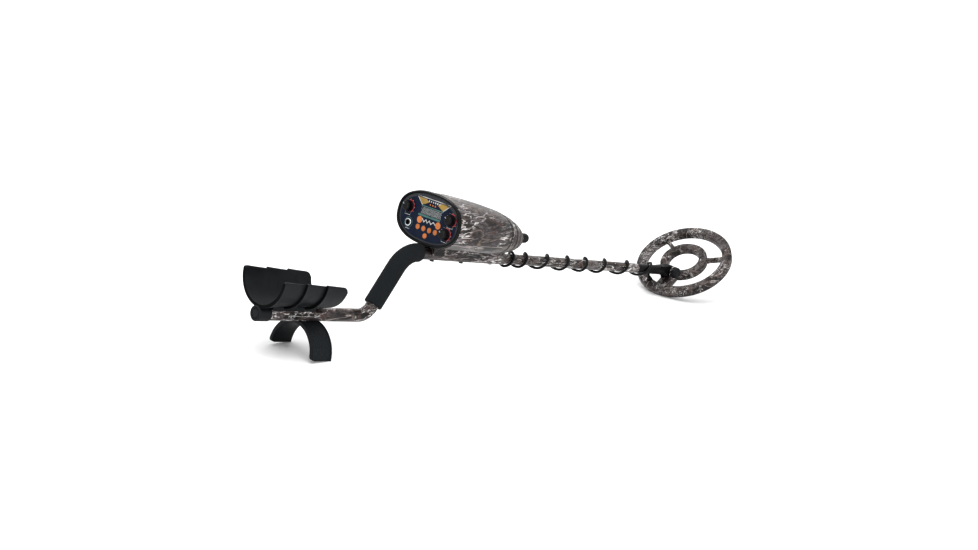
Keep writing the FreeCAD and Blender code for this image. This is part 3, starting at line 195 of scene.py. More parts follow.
def camouflage(name, rough, coat, size, turn=0.0):
    """Woodland print: grey-brown bark, outlined branches, pale twigs and reddish leaves."""
    n = Nodes(name)
    k = 1 / size
    black = (0.004, 0.0035, 0.0035)
    bark = n.noise(26 * k, 9, 0.8, n.mapped((0.32, 1.0, 1.0), (0.15, 0.3 + turn, 0.2)), 0.68)
    base = n.ramp(bark, ((0.40, black), (0.47, (0.016, 0.012, 0.012)),
                         (0.51, (0.045, 0.036, 0.036)), (0.56, (0.105, 0.088, 0.090)),
                         (0.60, (0.018, 0.014, 0.013)), (0.68, (0.17, 0.15, 0.155))))
    shade = n.noise(8 * k, 5, 0.8, n.mapped((0.6, 1, 1), (0.8, 0.1, 0.6)))
    hollow = n.ramp(shade, ((0.42, (1, 1, 1)), (0.53, (0, 0, 0))))
    base = n.mix(n.spread(hollow, 0, 0.85), base, (0.006, 0.005, 0.005))
    haze = n.ramp(n.noise(7 * k, 5, 0.9, n.mapped((0.45, 1, 1), (0.3, 1.1, 0.4 + turn))),
                  ((0.53, (0, 0, 0)), (0.68, (1, 1, 1))))
    base = n.mix(n.spread(haze, 0, 0.6), base, (0.26, 0.235, 0.24))
    leaf = n.noise(23 * k, 4, 1.8, n.mapped((0.7, 1, 1), (1.1, 0.2, 0.9)))
    leaves = n.ramp(leaf, ((0.60, (0, 0, 0)), (0.62, (1, 1, 1))))
    base = n.mix(n.spread(leaves, 0, 0.75), base, (0.060, 0.024, 0.014))
    tan = n.ramp(n.noise(21 * k, 3, 1.4, n.mapped((0.7, 0.8, 1), (0.4, 1.3, 0.2))),
                 ((0.65, (0, 0, 0)), (0.68, (1, 1, 1))))
    base = n.mix(n.spread(tan, 0, 0.7), base, (0.17, 0.12, 0.075))
    for scale, tilt, pale in ((13, (0.1, 0.25, 0.3), (0.34, 0.305, 0.30)),
                              (17, (0.6, 0.9, 0.7 + turn), (0.13, 0.105, 0.095))):
        branch = n.noise(scale * k, 4, 0.5, n.mapped((0.22, 1, 1), tilt), 0.5)
        inside = n.ramp(branch, ((0.474, (0, 0, 0)), (0.479, (1, 1, 1)),
                                 (0.521, (1, 1, 1)), (0.526, (0, 0, 0))))
        wood = n.ramp(branch, ((0.479, black), (0.487, (0.05, 0.038, 0.034)), (0.499, pale),
                               (0.508, (0.07, 0.055, 0.05)), (0.521, black)))
        base = n.mix(n.spread(inside, 0, 0.95), base, wood)
    thin = ((0.491, (0, 0, 0)), (0.497, (1, 1, 1)), (0.503, (1, 1, 1)), (0.509, (0, 0, 0)))
    here = n.ramp(n.noise(11 * k, 3, 0.5, n.mapped((0.6, 1, 1), (0.1, 0.9, 2.2))),
                  ((0.48, (0, 0, 0)), (0.58, (1, 1, 1))))
    for scale, tilt, colour in ((22, (0.2, 0.1, 0.15), (0.60, 0.57, 0.56)),
                                (30, (0.1, 0.5, 0.4 + turn), (0.80, 0.78, 0.77))):
        twigs = n.ramp(n.noise(scale * k, 4, 0.8, n.mapped((0.16, 1, 1), tilt)), thin)
        base = n.mix(n.mix(1.0, n.spread(twigs, 0, 0.95), here, "MULTIPLY"), base, colour)
    cracks = n.ramp(n.noise(34 * k, 4, 0.7, n.mapped((0.2, 1, 1), (0.4, 0.6, 1.4))), thin)
    base = n.mix(n.spread(cracks, 0, 0.9), base, black)
    scuffs = n.noise(140, 6, 0.3)
    fine = n.noise(1500, 4)
    normal = n.bump(fine, 0.00006, 0.5, n.bump(scuffs, 0.00015, 0.35))
    return n.finish(base, n.spread(scuffs, rough - 0.08, rough + 0.14), normal,
                    Coat_Weight=coat, Coat_Roughness=0.2, Specular_IOR_Level=0.22)


def foam(name):
    """Closed-cell foam: tiny open pits all over, painted darker towards their middles as shade;
    very matt.
    """
    n = Nodes(name)
    pits = n.cells(1300)
    lumps = n.noise(420, 5)
    # painted shade: the colour darkens towards each pit's middle, where the bump makes it lowest
    base = n.mix(n.spread(pits, 0.1, 1.0), (0.003, 0.003, 0.004), (0.016, 0.019, 0.021))
    base = n.mix(n.spread(n.noise(24, 6), 0, 0.35), base, (0.024, 0.028, 0.031))
    normal = n.bump(pits, 0.0005, 0.9, n.bump(lumps, 0.0006, 0.5))
    return n.finish(base, n.spread(lumps, 0.85, 1.0), normal, Specular_IOR_Level=0.15)


def pebbled(name):
    """Moulded pebble grain."""
    n = Nodes(name)
    cells = n.cells(520)
    blotch = n.noise(30, 5)
    base = n.mix(n.spread(cells, 0.0, 1.0), (0.020, 0.024, 0.027), (0.0015, 0.002, 0.003))
    base = n.mix(n.spread(blotch, 0, 0.25), base, (0.016, 0.020, 0.023))
    return n.finish(base, n.spread(blotch, 0.5, 0.7), n.bump(cells, 0.0009, 1.0),
                    Specular_IOR_Level=0.12)


def brushed(name, colour, rough=0.28, along=(1, 40, 40)):
    """Turned or brushed metal, with fine lines and stains."""
    n = Nodes(name)
    lines = n.noise(60, 4, 0.0, n.mapped(along))
    stains = n.noise(60, 6, 0.8)
    base = n.mix(n.spread(lines, 0.1, 0.7), tuple(c * 0.72 for c in colour), colour)
    base = n.mix(n.spread(stains, 0, 0.3), base, tuple(c * 0.55 for c in colour))
    return n.finish(base, n.spread(stains, rough - 0.1, rough + 0.15), n.bump(lines, 0.00004, 0.6),
                    Metallic=1.0)


# Each finish: how it is made, then that function's values in its own order.
FINISHES = {
    "camo_tube": (camouflage, 0.38, 0.04, 0.45, 0.4),
    "camo_housing": (camouflage, 0.36, 0.06, 0.68),
    # painted shade: a near-black copy of the camo, laid as thin bands where the shadow in each nose
    # groove falls
    "camo_dark": (grained, (0.016, 0.013, 0.012), 0.5, 900, 0.0001, 0.2, 0.2),
    "camo_coil": (camouflage, 0.40, 0.03, 0.45, 1.1),
    "black_plastic": (grained, (0.003, 0.004, 0.005), 0.46, 1400, 0.00008, 0.1, 0.18),
    "cup_plastic": (grained, (0.0035, 0.005, 0.0065), 0.50, 1100, 0.0001, 0.12, 0.16),
    # painted shade: a darker, rougher copy of the cup plastic for the rear-facing step faces and
    # the rear face
    "cup_edge": (grained, (0.0015, 0.0018, 0.002), 0.7, 1100, 0.0001, 0.05, 0.05),
    "stand_plastic": (grained, (0.004, 0.005, 0.006), 0.42, 1200, 0.00008, 0.1, 0.14),
    "stand_pebble": (pebbled,),
    "foam": (foam,),
    "panel_face": (grained, (0.0025, 0.007, 0.021), 0.34, 700, 0.00003, 0.10, 0.12),
    "bezel": (grained, (0.002, 0.0025, 0.003), 0.34, 1500, 0.00004, 0.1, 0.15),
    "display": (grained, (0.016, 0.022, 0.020), 0.22, 600, 0.00001, 0.05),
    "segments": (grained, (0.10, 0.12, 0.11), 0.4, 600, 0.00001, 0.0),
    "board": (grained, (0.015, 0.11, 0.045), 0.4, 500, 0.00008, 0.2),
    "orange_button": (grained, (0.34, 0.10, 0.016), 0.36, 900, 0.00003, 0.2, 0.5,
                      (0.48, 0.22, 0.07)),
    "knob_black": (grained, (0.0015, 0.0015, 0.002), 0.30, 900, 0.00003, 0.06, 0.2),
    "print_white": (grained, (0.42, 0.42, 0.41), 0.4, 900, 0.00002, 0.3, 0.5, (0.45, 0.46, 0.48)),
    "print_gold": (grained, (0.24, 0.15, 0.025), 0.4, 700, 0.00002, 0.4, 0.5, (0.16, 0.10, 0.02)),
    "print_orange": (grained, (0.42, 0.13, 0.025), 0.4, 700, 0.00002, 0.3, 0.5, (0.22, 0.07, 0.02)),
    "print_red": (grained, (0.40, 0.03, 0.018), 0.4, 700, 0.00002, 0.3, 0.5, (0.70, 0.22, 0.05)),
    "print_teal": (grained, (0.030, 0.10, 0.09), 0.4, 700, 0.00002, 0.3, 0.5, (0.16, 0.30, 0.28)),
    "print_dark": (grained, (0.006, 0.008, 0.014), 0.4, 700, 0.00002, 0.2),
    "steel": (brushed, (0.55, 0.55, 0.56)),
    "black_steel": (grained, (0.012, 0.012, 0.013), 0.34, 1200, 0.00005, 0.35, 0.5,
                    (0.20, 0.20, 0.21), 0.6),
    "chrome": (brushed, (0.82, 0.83, 0.85), 0.14, (30, 30, 30)),
    "battery_can": (grained, (0.05, 0.05, 0.055), 0.35, 900, 0.00004, 0.3),
    "winding": (brushed, (0.55, 0.27, 0.12), 0.4, (60, 60, 60)),
    "rubber_black": (grained, (0.002, 0.002, 0.003), 0.50, 1300, 0.00008, 0.15, 0.15),
    "stem_plastic": (grained, (0.001, 0.001, 0.0015), 0.36, 1100, 0.00006, 0.04, 0.12),
    "speaker_cone": (grained, (0.03, 0.03, 0.03), 0.7, 600, 0.0001, 0.1),
}
M = {name: make(name, *values) for name, (make, *values) in FINISHES.items()}


def clear_window():
    n = Nodes("window")
    haze = n.noise(80, 6, 0.4)
    base = n.mix(n.spread(haze, 0, 0.4), (0.90, 0.93, 0.94), (0.80, 0.84, 0.86))
    return n.finish(base, n.spread(haze, 0.03, 0.12), n.bump(haze, 0.00005, 0.3),
                    Transmission_Weight=0.95, IOR=1.45)


M["window"] = clear_window()


# ---- mesh building -------------------------------------------------------------------------

def piece(name, body, material, verts, faces, place=SHAFT, slot=None, smooth=True, replaces=(),
          bevel=0.0, angle=35.0, extra=()):
    """Make a mesh piece from millimetre points, standing on one body."""
    mesh = bpy.data.meshes.new(name)
    mesh.from_pydata([place @ Vector(v) for v in verts], [], faces)
    mesh.update()
    obj = bpy.data.objects.new(name, mesh)
    bpy.context.scene.collection.objects.link(obj)
    for m in (material, *extra):
        mesh.materials.append(M[m])
    mesh.shade_smooth() if smooth else mesh.shade_flat()
    if bevel:
        b = obj.modifiers.new("edges", "BEVEL")
        b.width = bevel / 1000
        b.segments = 3
        b.limit_method = "ANGLE"
        b.angle_limit = math.radians(angle)
        b.harden_normals = True
    elif smooth:
        mesh.set_sharp_from_angle(angle=math.radians(angle))
    if body:
        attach(obj, body)
    if replaces:
        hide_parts(*replaces)
    return obj


def grid_faces(rows, columns, closed_rows=False):
    """Quads of a grid of rows by columns that wraps round along each row."""
    faces = []
    for i in range(rows if closed_rows else rows - 1):
        for j in range(columns):
            a, b = i * columns, (i + 1) % rows * columns
            k = (j + 1) % columns
            faces.append((a + j, a + k, b + k, b + j))
    return faces


def lofted(rings):
    """Points and faces of a skin over rings of equal length, closed at its two ends."""
    count = len(rings[0])
    verts = [p for ring in rings for p in ring]
    ends = [tuple(range(count))[::-1], tuple(range(len(verts) - count, len(verts)))]
    return verts, grid_faces(len(rings), count) + ends


def looped(rings):
    """Points and faces of a skin over rings of equal length, the last joined to the first."""
    return [p for ring in rings for p in ring], grid_faces(len(rings), len(rings[0]), True)


def lathed(profile, place=Vector(), along=Vector((1, 0, 0)), count=64, wave=None):
    """A solid of revolution: profile of (along, radius); wave changes the radius by angle."""
    turn = Vector((1, 0, 0)).rotation_difference(along)
    rings = []
    for x, r in profile:
        ring = []
        for j in range(count):
            a = 2 * math.pi * j / count
            rr = r + (wave(x, r, a) if wave else 0)
            ring.append(place + turn @ Vector((x, rr * math.cos(a), rr * math.sin(a))))
        rings.append(ring)
    return lofted(rings)


def rounded(profile, radius=0.6, steps=4):
    """Round the inner corners of an open profile of (along, radius) points."""
    out = [profile[0]]
    for a, b, c in zip(profile, profile[1:], profile[2:]):
        a, b, c = Vector(a), Vector(b), Vector(c)
        u, v = (a - b), (c - b)
        reach = min(radius, u.length * 0.45, v.length * 0.45)
        p, q = b + u.normalized() * reach, b + v.normalized() * reach
        for i in range(steps + 1):
            t = i / steps
            out.append(tuple(p * (1 - t) ** 2 + b * 2 * t * (1 - t) + q * t * t))
    out.append(profile[-1])
    return out


def smooth_path(points, spacing=2.0):
    """A Catmull-Rom curve through points, cut into even steps."""
    ps = [2 * points[0] - points[1]] + list(points) + [2 * points[-1] - points[-2]]
    out = []
    for p0, p1, p2, p3 in zip(ps, ps[1:], ps[2:], ps[3:]):
        steps = max(2, round((p2 - p1).length / spacing))
        for i in range(steps):
            t = i / steps
            out.append(0.5 * ((2 * p1) + (p2 - p0) * t + (2 * p0 - 5 * p1 + 4 * p2 - p3) * t * t
                              + (3 * p1 - p0 - 3 * p2 + p3) * t ** 3))
    return out + [points[-1]]


def swept(path, radius, count=16):
    """A round skin along a path; radius is a number or a function of (share, distance)."""
    heading = (path[1] - path[0]).normalized()
    side = heading.orthogonal().normalized()
    rings, run = [], 0.0
    total = sum((b - a).length for a, b in zip(path, path[1:]))
    for i, p in enumerate(path):
        ahead = (path[min(i + 1, len(path) - 1)] - path[max(i - 1, 0)]).normalized()
        side = (side - ahead * side.dot(ahead)).normalized()
        up = ahead.cross(side)
        if i:
            run += (p - path[i - 1]).length
        r = radius(run, total) if callable(radius) else radius
        rings.append([p + side * (r * math.cos(2 * math.pi * j / count))
                      + up * (r * math.sin(2 * math.pi * j / count)) for j in range(count)])
    return lofted(rings)


def slabs(outlines, x, thick):
    """Flat shapes on the panel: outlines of (y, z), standing proud of x towards the user."""
    verts, faces = [], []
    for outline in outlines:
        points, quads = lofted([[Vector((at, y, z)) for y, z in outline] for at in (x, x - thick)])
        faces += [tuple(i + len(verts) for i in face) for face in quads]
        verts += points
    return verts, faces


def superellipse(half_width, half_height, x, z, count=OUTLINE):
    """An oval outline, squarer than an ellipse."""
    power = 2.4
    ring = []
    for i in range(count):
        a = 2 * math.pi * i / count
        across = math.copysign(abs(math.cos(a)) ** (2 / power), math.cos(a))
        up = math.copysign(abs(math.sin(a)) ** (2 / power), math.sin(a))
        ring.append(Vector((x, half_width * across, z + half_height * up)))
    return ring


def housing_ring(share, grow):
    """The housing's outline at a share of its length, grown by an amount."""
    half_width = 73.8 * (1 - 0.67 * share ** 4.5) + grow
    half_height = 45.2 * (1 - 0.15 * share - 0.6 * share ** 5) + grow
    return superellipse(half_width, half_height, 331 + 227 * share,
                        PANEL_MIDDLE_Z - 16 * share ** 1.5)


# ---- rear end: cap, cup, stand, bolt -------------------------------------------------------

def end_cap():
    """The moulded cap and its ring of fine ribs."""
    profile = rounded([(-1.3, 0), (-1.3, 6.0), (-0.5, 6.6), (-0.5, 9.4), (-1.5, 10.2),
                       (-1.5, CAP_RADIUS), (21.8, CAP_RADIUS), (22, 11.12)], 0.7)
    verts, faces = lathed(profile + [(21.9, 11.1), (21.9, 0)])
    piece("cap_moulding", "detector", "black_plastic", verts, faces, replaces=["tube_end_cap"])
    verts, faces = [], []
    for i in range(18):
        a = 2 * math.pi * i / 18
        c, s = math.cos(a), math.sin(a)
        start = len(verts)
        for x in (-0.4, -1.0):
            for r, w in ((7.0, -0.28), (9.2, -0.28), (9.2, 0.28), (7.0, 0.28)):
                verts.append(Vector((x, r * c - w * s, r * s + w * c)))
        faces += [(start, start + 1, start + 2, start + 3)[::-1],
                  (start + 4, start + 5, start + 6, start + 7)]
        faces += [(start + k, start + (k + 1) % 4, start + 4 + (k + 1) % 4, start + 4 + k)
                  for k in range(4)]
    piece("cap_ribs", "detector", "black_plastic", verts, faces, smooth=False)


def cup_outer(x, start, end):
    """Outer radius along one louvre: proud at its rear edge, thin where the next one starts."""
    share = (x - start) / (end - start)
    return CUP_HIGH - (CUP_HIGH - CUP_LOW) * share ** 0.8


def cup_rim(x):
    """Height of the cup's rim over the shaft's axis: it falls forwards, with rounded ends."""
    height = 60.4 - 3.4 * x / 125
    if x > 125:
        height -= 11.0 * (1 - math.sqrt(max(0.0, 1 - ((x - 125) / 12.4) ** 2)))
    return height - 1.8 * max(0.0, 1 - (x + 0.5) / 5) ** 2


def cup_section(x, outer):
    """The cup's section at x: outer arc, rounded rim, inner arc, rounded rim."""
    half, middle = (outer - CUP_INNER) / 2, (outer + CUP_INNER) / 2
    lean = math.asin((cup_rim(x) - CUP_AXIS_Z) / 47.5)
    far, sweep = -math.pi - lean, math.pi + 2 * lean

    def point(angle, radius, lift=0.0):
        return Vector((x, radius * math.cos(angle),
                       CUP_AXIS_Z + radius * math.sin(angle) + lift))

    def rim(angle, steps):
        return [point(angle, middle + half * math.cos(math.pi * k / 6),
                      half * math.sin(math.pi * k / 6)) for k in steps]

    arc = [sweep * i / CUP_ARC for i in range(CUP_ARC + 1)]
    return ([point(lean - a, middle + half) for a in arc] + rim(far, range(1, 6))
            + [point(far + a, middle - half) for a in arc] + rim(lean, range(5, 0, -1)))


def arm_cup():
    """The louvred cup, its step and rear faces painted dark as shade, and the keel that seats it on
    the tube.
    """
    rings, edges = [], []
    for start, end in zip(CUP_STEPS, CUP_STEPS[1:]):
        first = cup_outer(start, start, end)
        edges.append(len(rings))
        rings.append(cup_section(start, first - 0.9))
        rings.append(cup_section(start + 0.15, first - 0.35))
        rings.append(cup_section(start + 0.6, first))
        for i in range(1, 15):
            x = start + 0.6 + (end - start - 0.75) * i / 14
            rings.append(cup_section(x, cup_outer(x, start, end)))
    rings += [cup_section(CUP_STEPS[-1] + 0.1 * i, CUP_LOW - 0.25 * i) for i in (1, 2)]
    verts, faces = lofted(rings)
    # painted shade: the second material is the darker copy of the cup plastic
    obj = piece("cup_shell", "detector", "cup_plastic", verts, faces, slot="black_plastic",
                replaces=["arm_cup"], angle=32, extra=("cup_edge",))
    count = len(rings[0])
    # painted shade: the faces of each step between louvres get the darker copy of the cup plastic
    for index, polygon in enumerate(obj.data.polygons):
        row, column = divmod(index, count)
        on_step = row in edges or row + 1 in edges[1:]
        if row < len(rings) - 1 and on_step and column < CUP_ARC + 2:
            polygon.material_index = 1
    # painted shade: the cup's rear face also gets the darker copy
    rear_face = obj.data.polygons[len(faces) - 2]
    rear_face.material_index = 1
    rings = []
    for x, half in ((23.5, 7.6), (24.5, 8.6), (26, 9.0), (110, 9.0), (112, 8.6), (113, 7.6)):
        rings.append([Vector((x, y, z)) for y, z in (
            (-half - 1.5, 13.5), (-half, 9.0), (-half, 4.6), (half, 4.6), (half, 9.0),
            (half + 1.5, 13.5))])
    piece("cup_keel", "detector", "cup_plastic", *lofted(rings), slot="black_plastic", bevel=0.8)


def stand():
    """The arched foot, with raised borders on its outer face."""
    width, corner, strips = STAND_WIDTH, 7.0, 96
    back = ARM_BOLT_X - width / 2
    inner = STAND_RADIUS - STAND_WALL
    section = [(0.0, 0.0), (0.0, 5.6), (0.7, 6.3), (2.9, 6.3), (3.5, 5.4), (width - 3.5, 5.4),
               (width - 2.9, 6.3), (width - 0.7, 6.3), (width, 5.6), (width, 0.0),
               (width - 0.4, 0.0), (0.4, 0.0)]
    rings = []
    for i in range(strips + 1):
        a = math.pi * i / strips
        height = STAND_RADIUS * math.sin(a)
        cut_in = corner - math.sqrt(max(0, corner ** 2 - max(0, corner - height) ** 2))
        ring = []
        for u, h in section:
            x = back + cut_in + (width - cut_in) * u / width
            r = inner + h
            ring.append(Vector((x, r * math.cos(a), r * math.sin(a) - STAND_DROP)))
        rings.append(ring)
    obj = piece("stand_arch", "detector", "stand_plastic", *lofted(rings), slot="black_plastic",
                replaces=["stand"], extra=("stand_pebble",), angle=30)
    count = len(section)
    for index, polygon in enumerate(obj.data.polygons):
        if index < strips * count and index % count == 4:
            polygon.material_index = 1


def arm_bolt():
    profile = rounded([(3.2, 0), (3.2, 2.2), (2.6, 4.6), (1.4, 7.2), (0.2, 8.0), (0, 7.8)], 0.8)
    verts, faces = lathed(profile + [(0, 3.0), (-34.4, 3.0), (-34.8, 2.4), (-34.8, 0)],
                          Vector((ARM_BOLT_X, 0, 15.7)), Vector((0, 0, 1)))
    piece("bolt_turned", "detector", "black_steel", verts, faces, replaces=["armrest_bolt"])


# ---- grip ----------------------------------------------------------------------------------

def grip():
    """The foam sleeve, up the sloping tube and round the front bend."""
    up = Vector((math.cos(BEND), 0, math.sin(BEND)))
    foot = Vector((REAR_BEND_X, 0, 0))
    corner = Vector((FRONT_BEND_X, 0, RISE))
    reach = BEND_RADIUS * math.tan(BEND / 2)
    first = corner - up * reach
    path = []
    start = foot + up * 20.5
    steps = round((first - start).length / 1.5)
    path += [start + (first - start) * i / steps for i in range(steps)]
    centre = first + Vector((-math.sin(BEND), 0, math.cos(BEND))) * -BEND_RADIUS
    for i in range(31):
        a = BEND * i / 30
        path.append(centre + Quaternion((0, 1, 0), a) @ (first - centre))
    path.append(Vector((GRIP_END_X, 0, RISE)))

    def skin(run, total):
        edge = min(run, total - run)
        if edge <= 0:
            return 14.9
        return 15.97 - 0.9 * max(0.0, 1 - edge / 1.6) ** 2

    obj = piece("grip_sleeve", "detector", "foam", *swept(path, skin, 96), replaces=["foam_grip"],
                angle=50)


# ---- housing front -------------------------------------------------------------------------

def bezel():
    """A rounded black frame round the panel."""
    half_width, half_height = 73.0, 44.4
    section = [(5.5, 0.0), (1.4, 0.0), (0.5, 0.4), (0.0, 1.3), (0.0, 2.6), (0.5, 3.5), (1.6, 4.1),
               (5.5, 4.2)]
    verts, faces = looped([superellipse(half_width - inset, half_height - inset, 325.5 + x,
                                        PANEL_MIDDLE_Z, 160) for x, inset in section])
    piece("bezel_frame", "detector", "bezel", verts, faces, slot="black_plastic",
          replaces=["front_bezel"])


def housing_skin(share, grow):
    """The outline measured on the housing itself, grown by an amount."""
    outside, deepest = 6.0, 12.0
    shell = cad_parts["housing_shell"]
    to_shell = shell.matrix_world.inverted() @ SHAFT
    to_shaft = to_shell.inverted()
    ring = housing_ring(share, outside)
    centre = sum(ring, Vector()) / len(ring)
    points = []
    for p in ring:
        outward = (p - centre).normalized()
        start = to_shell @ p
        hit, place, _, _ = shell.ray_cast(start, (to_shell @ centre - start).normalized())
        skin = to_shaft @ place
        if not hit or (p - skin).length > deepest:
            skin = p - outside * outward
        points.append(skin + grow * outward)
    return points


def nose_ridges():
    """Raised concentric bands round the nose of the housing, each behind a near-black band of
    painted shade for its groove.
    """
    for index, (start, end) in enumerate(((0.640, 0.660), (0.730, 0.748), (0.810, 0.826),
                                          (0.878, 0.890), (0.935, 0.945)), start=1):
        verts, faces = looped([housing_skin(share, grow) for share, grow in (
            (start, -0.6), (start + 0.0015, 0.35), (start + 0.004, 0.75),
            (end - 0.004, 0.75), (end - 0.0015, 0.35), (end, -0.6))])
        piece(f"nose_band_{index}", "detector", "camo_housing", verts, faces, angle=60)
        # painted shade: a thin near-black band, a little proud of the skin, stands for the shadow
        # in the groove
        verts, faces = looped([housing_skin(start + step, grow) for step, grow in (
            (-0.011, -0.6), (-0.010, 0.25), (0.001, 0.45), (0.001, -0.6))])
        piece(f"nose_groove_shade_{index}", "detector", "camo_dark", verts, faces,
              slot="camo_housing", angle=60)


def bar(y0, y1, z0, z1):
    """A rectangle on the panel."""
    return [(y0, z0), (y1, z0), (y1, z1), (y0, z1)]


def printed(name, material, shapes):
    """Several flat printed shapes joined into one thin piece."""
    piece(name, "detector", material, *slabs(shapes, PRINT_X, 0.10), slot="panel_face",
          smooth=False)


def arc_band(y, z, inner, outer, start, end, steps=24):
    """A band of a circle on the panel; angles run from the user's right, upwards."""
    out = []
    for r, sweep in ((inner, range(steps + 1)), (outer, range(steps, -1, -1))):
        for i in sweep:
            a = math.radians(start + (end - start) * i / steps)
            out.append((y - r * math.cos(a), z + r * math.sin(a)))
    return out


def panel_print():
    """The overlay's printing, without any wording: frames, wedges, bars, scales and icons."""
    printed("print_border", "print_white", [
        [(37, 204.6), (-45, 204.6), (-45, 203.4), (37, 203.4)],
        [(37, 204.6), (20.2, 189.6), (18.6, 189.6), (35, 204.6)],
        [(-45, 204.6), (-28.4, 189.6), (-26.8, 189.6), (-43, 204.6)]])
    printed("print_wedges", "print_gold", [
        [(31.5, 202.2), (13.5, 202.2), (6.5, 197.5), (18.5, 191.5), (20.5, 191.5)],
        [(-39.5, 202.2), (-21.5, 202.2), (-14.5, 197.5), (-26.5, 191.5), (-28.5, 191.5)]])
    printed("print_scale", "print_white", [bar(8 - 5 * i, 5.6 - 5 * i, 198.6, 201.4)
                                           for i in range(6)])
    printed("print_icons_top", "print_orange", [bar(4 - 6 * i, 1.4 - 6 * i, 193.2, 195.8)
                                                for i in range(3)])
    printed("print_bars", "print_teal", [bar(-29.5, 21.5, 188.8, 190.6),
                                         bar(-27.0, 25.0, 172.0, 175.2)])
    printed("print_blobs", "print_orange", [
        arc_band(19, 165.2, 0.2, 6.0, 0, 360), arc_band(-24.5, 165.2, 0.2, 6.0, 0, 360)])
    printed("print_zigzag", "print_white", [
        [(13.5, 167.5), (8.5, 162.2), (4.5, 167.2), (0.5, 162.2), (-3.5, 167.2), (-8, 162.2),
         (-13, 167.2), (-18.5, 163.6), (-18.5, 165.0), (-13, 169.0), (-8, 164.4), (-3.5, 169.4),
         (0.5, 164.4), (4.5, 169.4), (8.5, 164.4), (13.5, 169.6)][::-1]])
    for name, (y, z) in KNOBS.items():
        ticks = []
        for i in range(11):
            a = math.radians(-60 + 30 * i)
            cy, cz = y - 12.6 * math.cos(a), z + 12.6 * math.sin(a)
            ticks.append(bar(cy - 0.45, cy + 0.45, cz - 0.45, cz + 0.45))
        printed(f"print_ticks_{name}", "print_white", ticks)
        printed(f"print_arc_{name}", "print_red", [arc_band(y, z, 10.2, 11.6, -55, 105)])
    printed("print_jack_ring", "print_teal", [arc_band(JACK_Y, JACK_Z, 8.6, 9.3, 0, 360)])
    printed("print_labels", "print_white", [
        bar(56, 43, 166.4, 167.2), bar(-44, -58, 167.6, 168.4), bar(-39, -52, 142.2, 143.0),
        bar(47.5, 37.5, 143.6, 144.4)])
    printed("print_window_frame", "print_dark", [
        bar(-29.5, 23.5, 188.2, 188.7), bar(-29.5, 23.5, 175.3, 175.8)])


def panel_border():
    """A black printed border round the overlay, wider along the top."""
    outer, inner = (68.5, 39.9, PANEL_MIDDLE_Z), (65.0, 36.0, 169.3)
    verts, faces = looped([superellipse(half_width, half_height, x, z) for
                           (half_width, half_height, z), x in (
                               (outer, PRINT_X), (outer, PRINT_X - 0.1),
                               (inner, PRINT_X - 0.1), (inner, PRINT_X))])
    piece("panel_border", "detector", "print_dark", verts, faces, slot="panel_face", angle=20)


def display_segments():
    """A row of plain bars and two figures on the display, behind its window."""
    shapes = [bar(17 - 3.2 * i, 15 - 3.2 * i, 177.6, 179.0) for i in range(11)]
    strokes = {"a": bar(-1.8, 1.8, 2.9, 3.5), "b": bar(1.3, 1.9, 0.2, 3.2),
               "c": bar(1.3, 1.9, -3.2, -0.2), "d": bar(-1.8, 1.8, -3.5, -2.9),
               "e": bar(-1.9, -1.3, -3.2, -0.2), "f": bar(-1.9, -1.3, 0.2, 3.2),
               "g": bar(-1.7, 1.7, -0.3, 0.3)}
    for middle, used in ((-8.5, "bcfg"), (-14.5, "abcdefg")):
        for stroke in used:
            shapes.append([(middle - y, 184.1 + z) for y, z in strokes[stroke]])
    piece("display_figures", "detector", "segments", *slabs(shapes, 330.97, 0.08), slot="display",
          smooth=False)


def knobs():
    """Fluted dial caps, each with a white pointer on its face."""
    def flutes(x, r, a):
        return -0.32 * (0.5 + 0.5 * math.cos(24 * a)) if r > 7.2 and 1.2 < x < 9.4 else 0.0

    profile = rounded([(0.3, 0), (0.3, 9.0), (1.1, 9.0), (1.3, 8.75), (8.6, 8.35), (9.7, 7.4),
                       (10.0, 5.6), (9.5, 4.6), (9.5, 0)], 0.35)
    c, s = math.cos(math.radians(150)), math.sin(math.radians(150))
    pointer = [(u * c - v * s, u * s + v * c)
               for u, v in ((8.1, -0.55), (8.1, 0.55), (4.9, 0.55), (4.9, -0.55))]
    for name, (y, z) in KNOBS.items():
        verts, faces = lathed(profile, Vector((PANEL_X, y, z)), Vector((-1, 0, 0)), 192, flutes)
        piece(f"{name}_cap", f"{name}_control", "knob_black", verts, faces,
              replaces=[f"{name}_knob"], angle=50)
        verts, faces = slabs([[(y - u, z + v) for u, v in pointer]], PANEL_X - 8.9, 1.05)
        piece(f"{name}_pointer", f"{name}_control", "print_white", verts, faces,
              slot="knob_black", smooth=False)


def buttons():
    for i, (y, z) in enumerate(BUTTONS, start=1):
        profile = rounded([(-2.0, 0), (-2.0, 4.5), (0.7, 4.5), (1.15, 4.0), (1.2, 2.6), (0.95, 0)],
                          0.4)
        verts, faces = lathed(profile, Vector((PANEL_X, y, z)), Vector((-1, 0, 0)), 48)
        piece(f"button_cap_{i}", f"touch_button_{i}", "orange_button", verts, faces,
              replaces=[f"touch_button_{i}"])
        printed(f"button_ring_{i}", "print_dark", [arc_band(y, z, 4.75, 5.5, 0, 360)])


def jack():
    """The socket's knurled ring."""
    profile = rounded([(0, 4.85), (0, 7.0), (1.3, 7.0), (2.0, 6.4), (2.2, 5.4), (2.2, 4.85)], 0.3)

    def knurl(r, a):
        return -0.25 * (0.5 + 0.5 * math.cos(36 * a)) if r > 6.7 else 0.0

    rings = []
    for x, r in profile:
        ring = []
        for j in range(144):
            a = 2 * math.pi * j / 144
            rr = r + knurl(r, a)
            ring.append(Vector((PANEL_X - x, JACK_Y + rr * math.cos(a), JACK_Z + rr * math.sin(a))))
        rings.append(ring)
    piece("jack_ring", "detector", "chrome", *looped(rings), replaces=["jack_nut"])


# ---- connector and cable -------------------------------------------------------------------

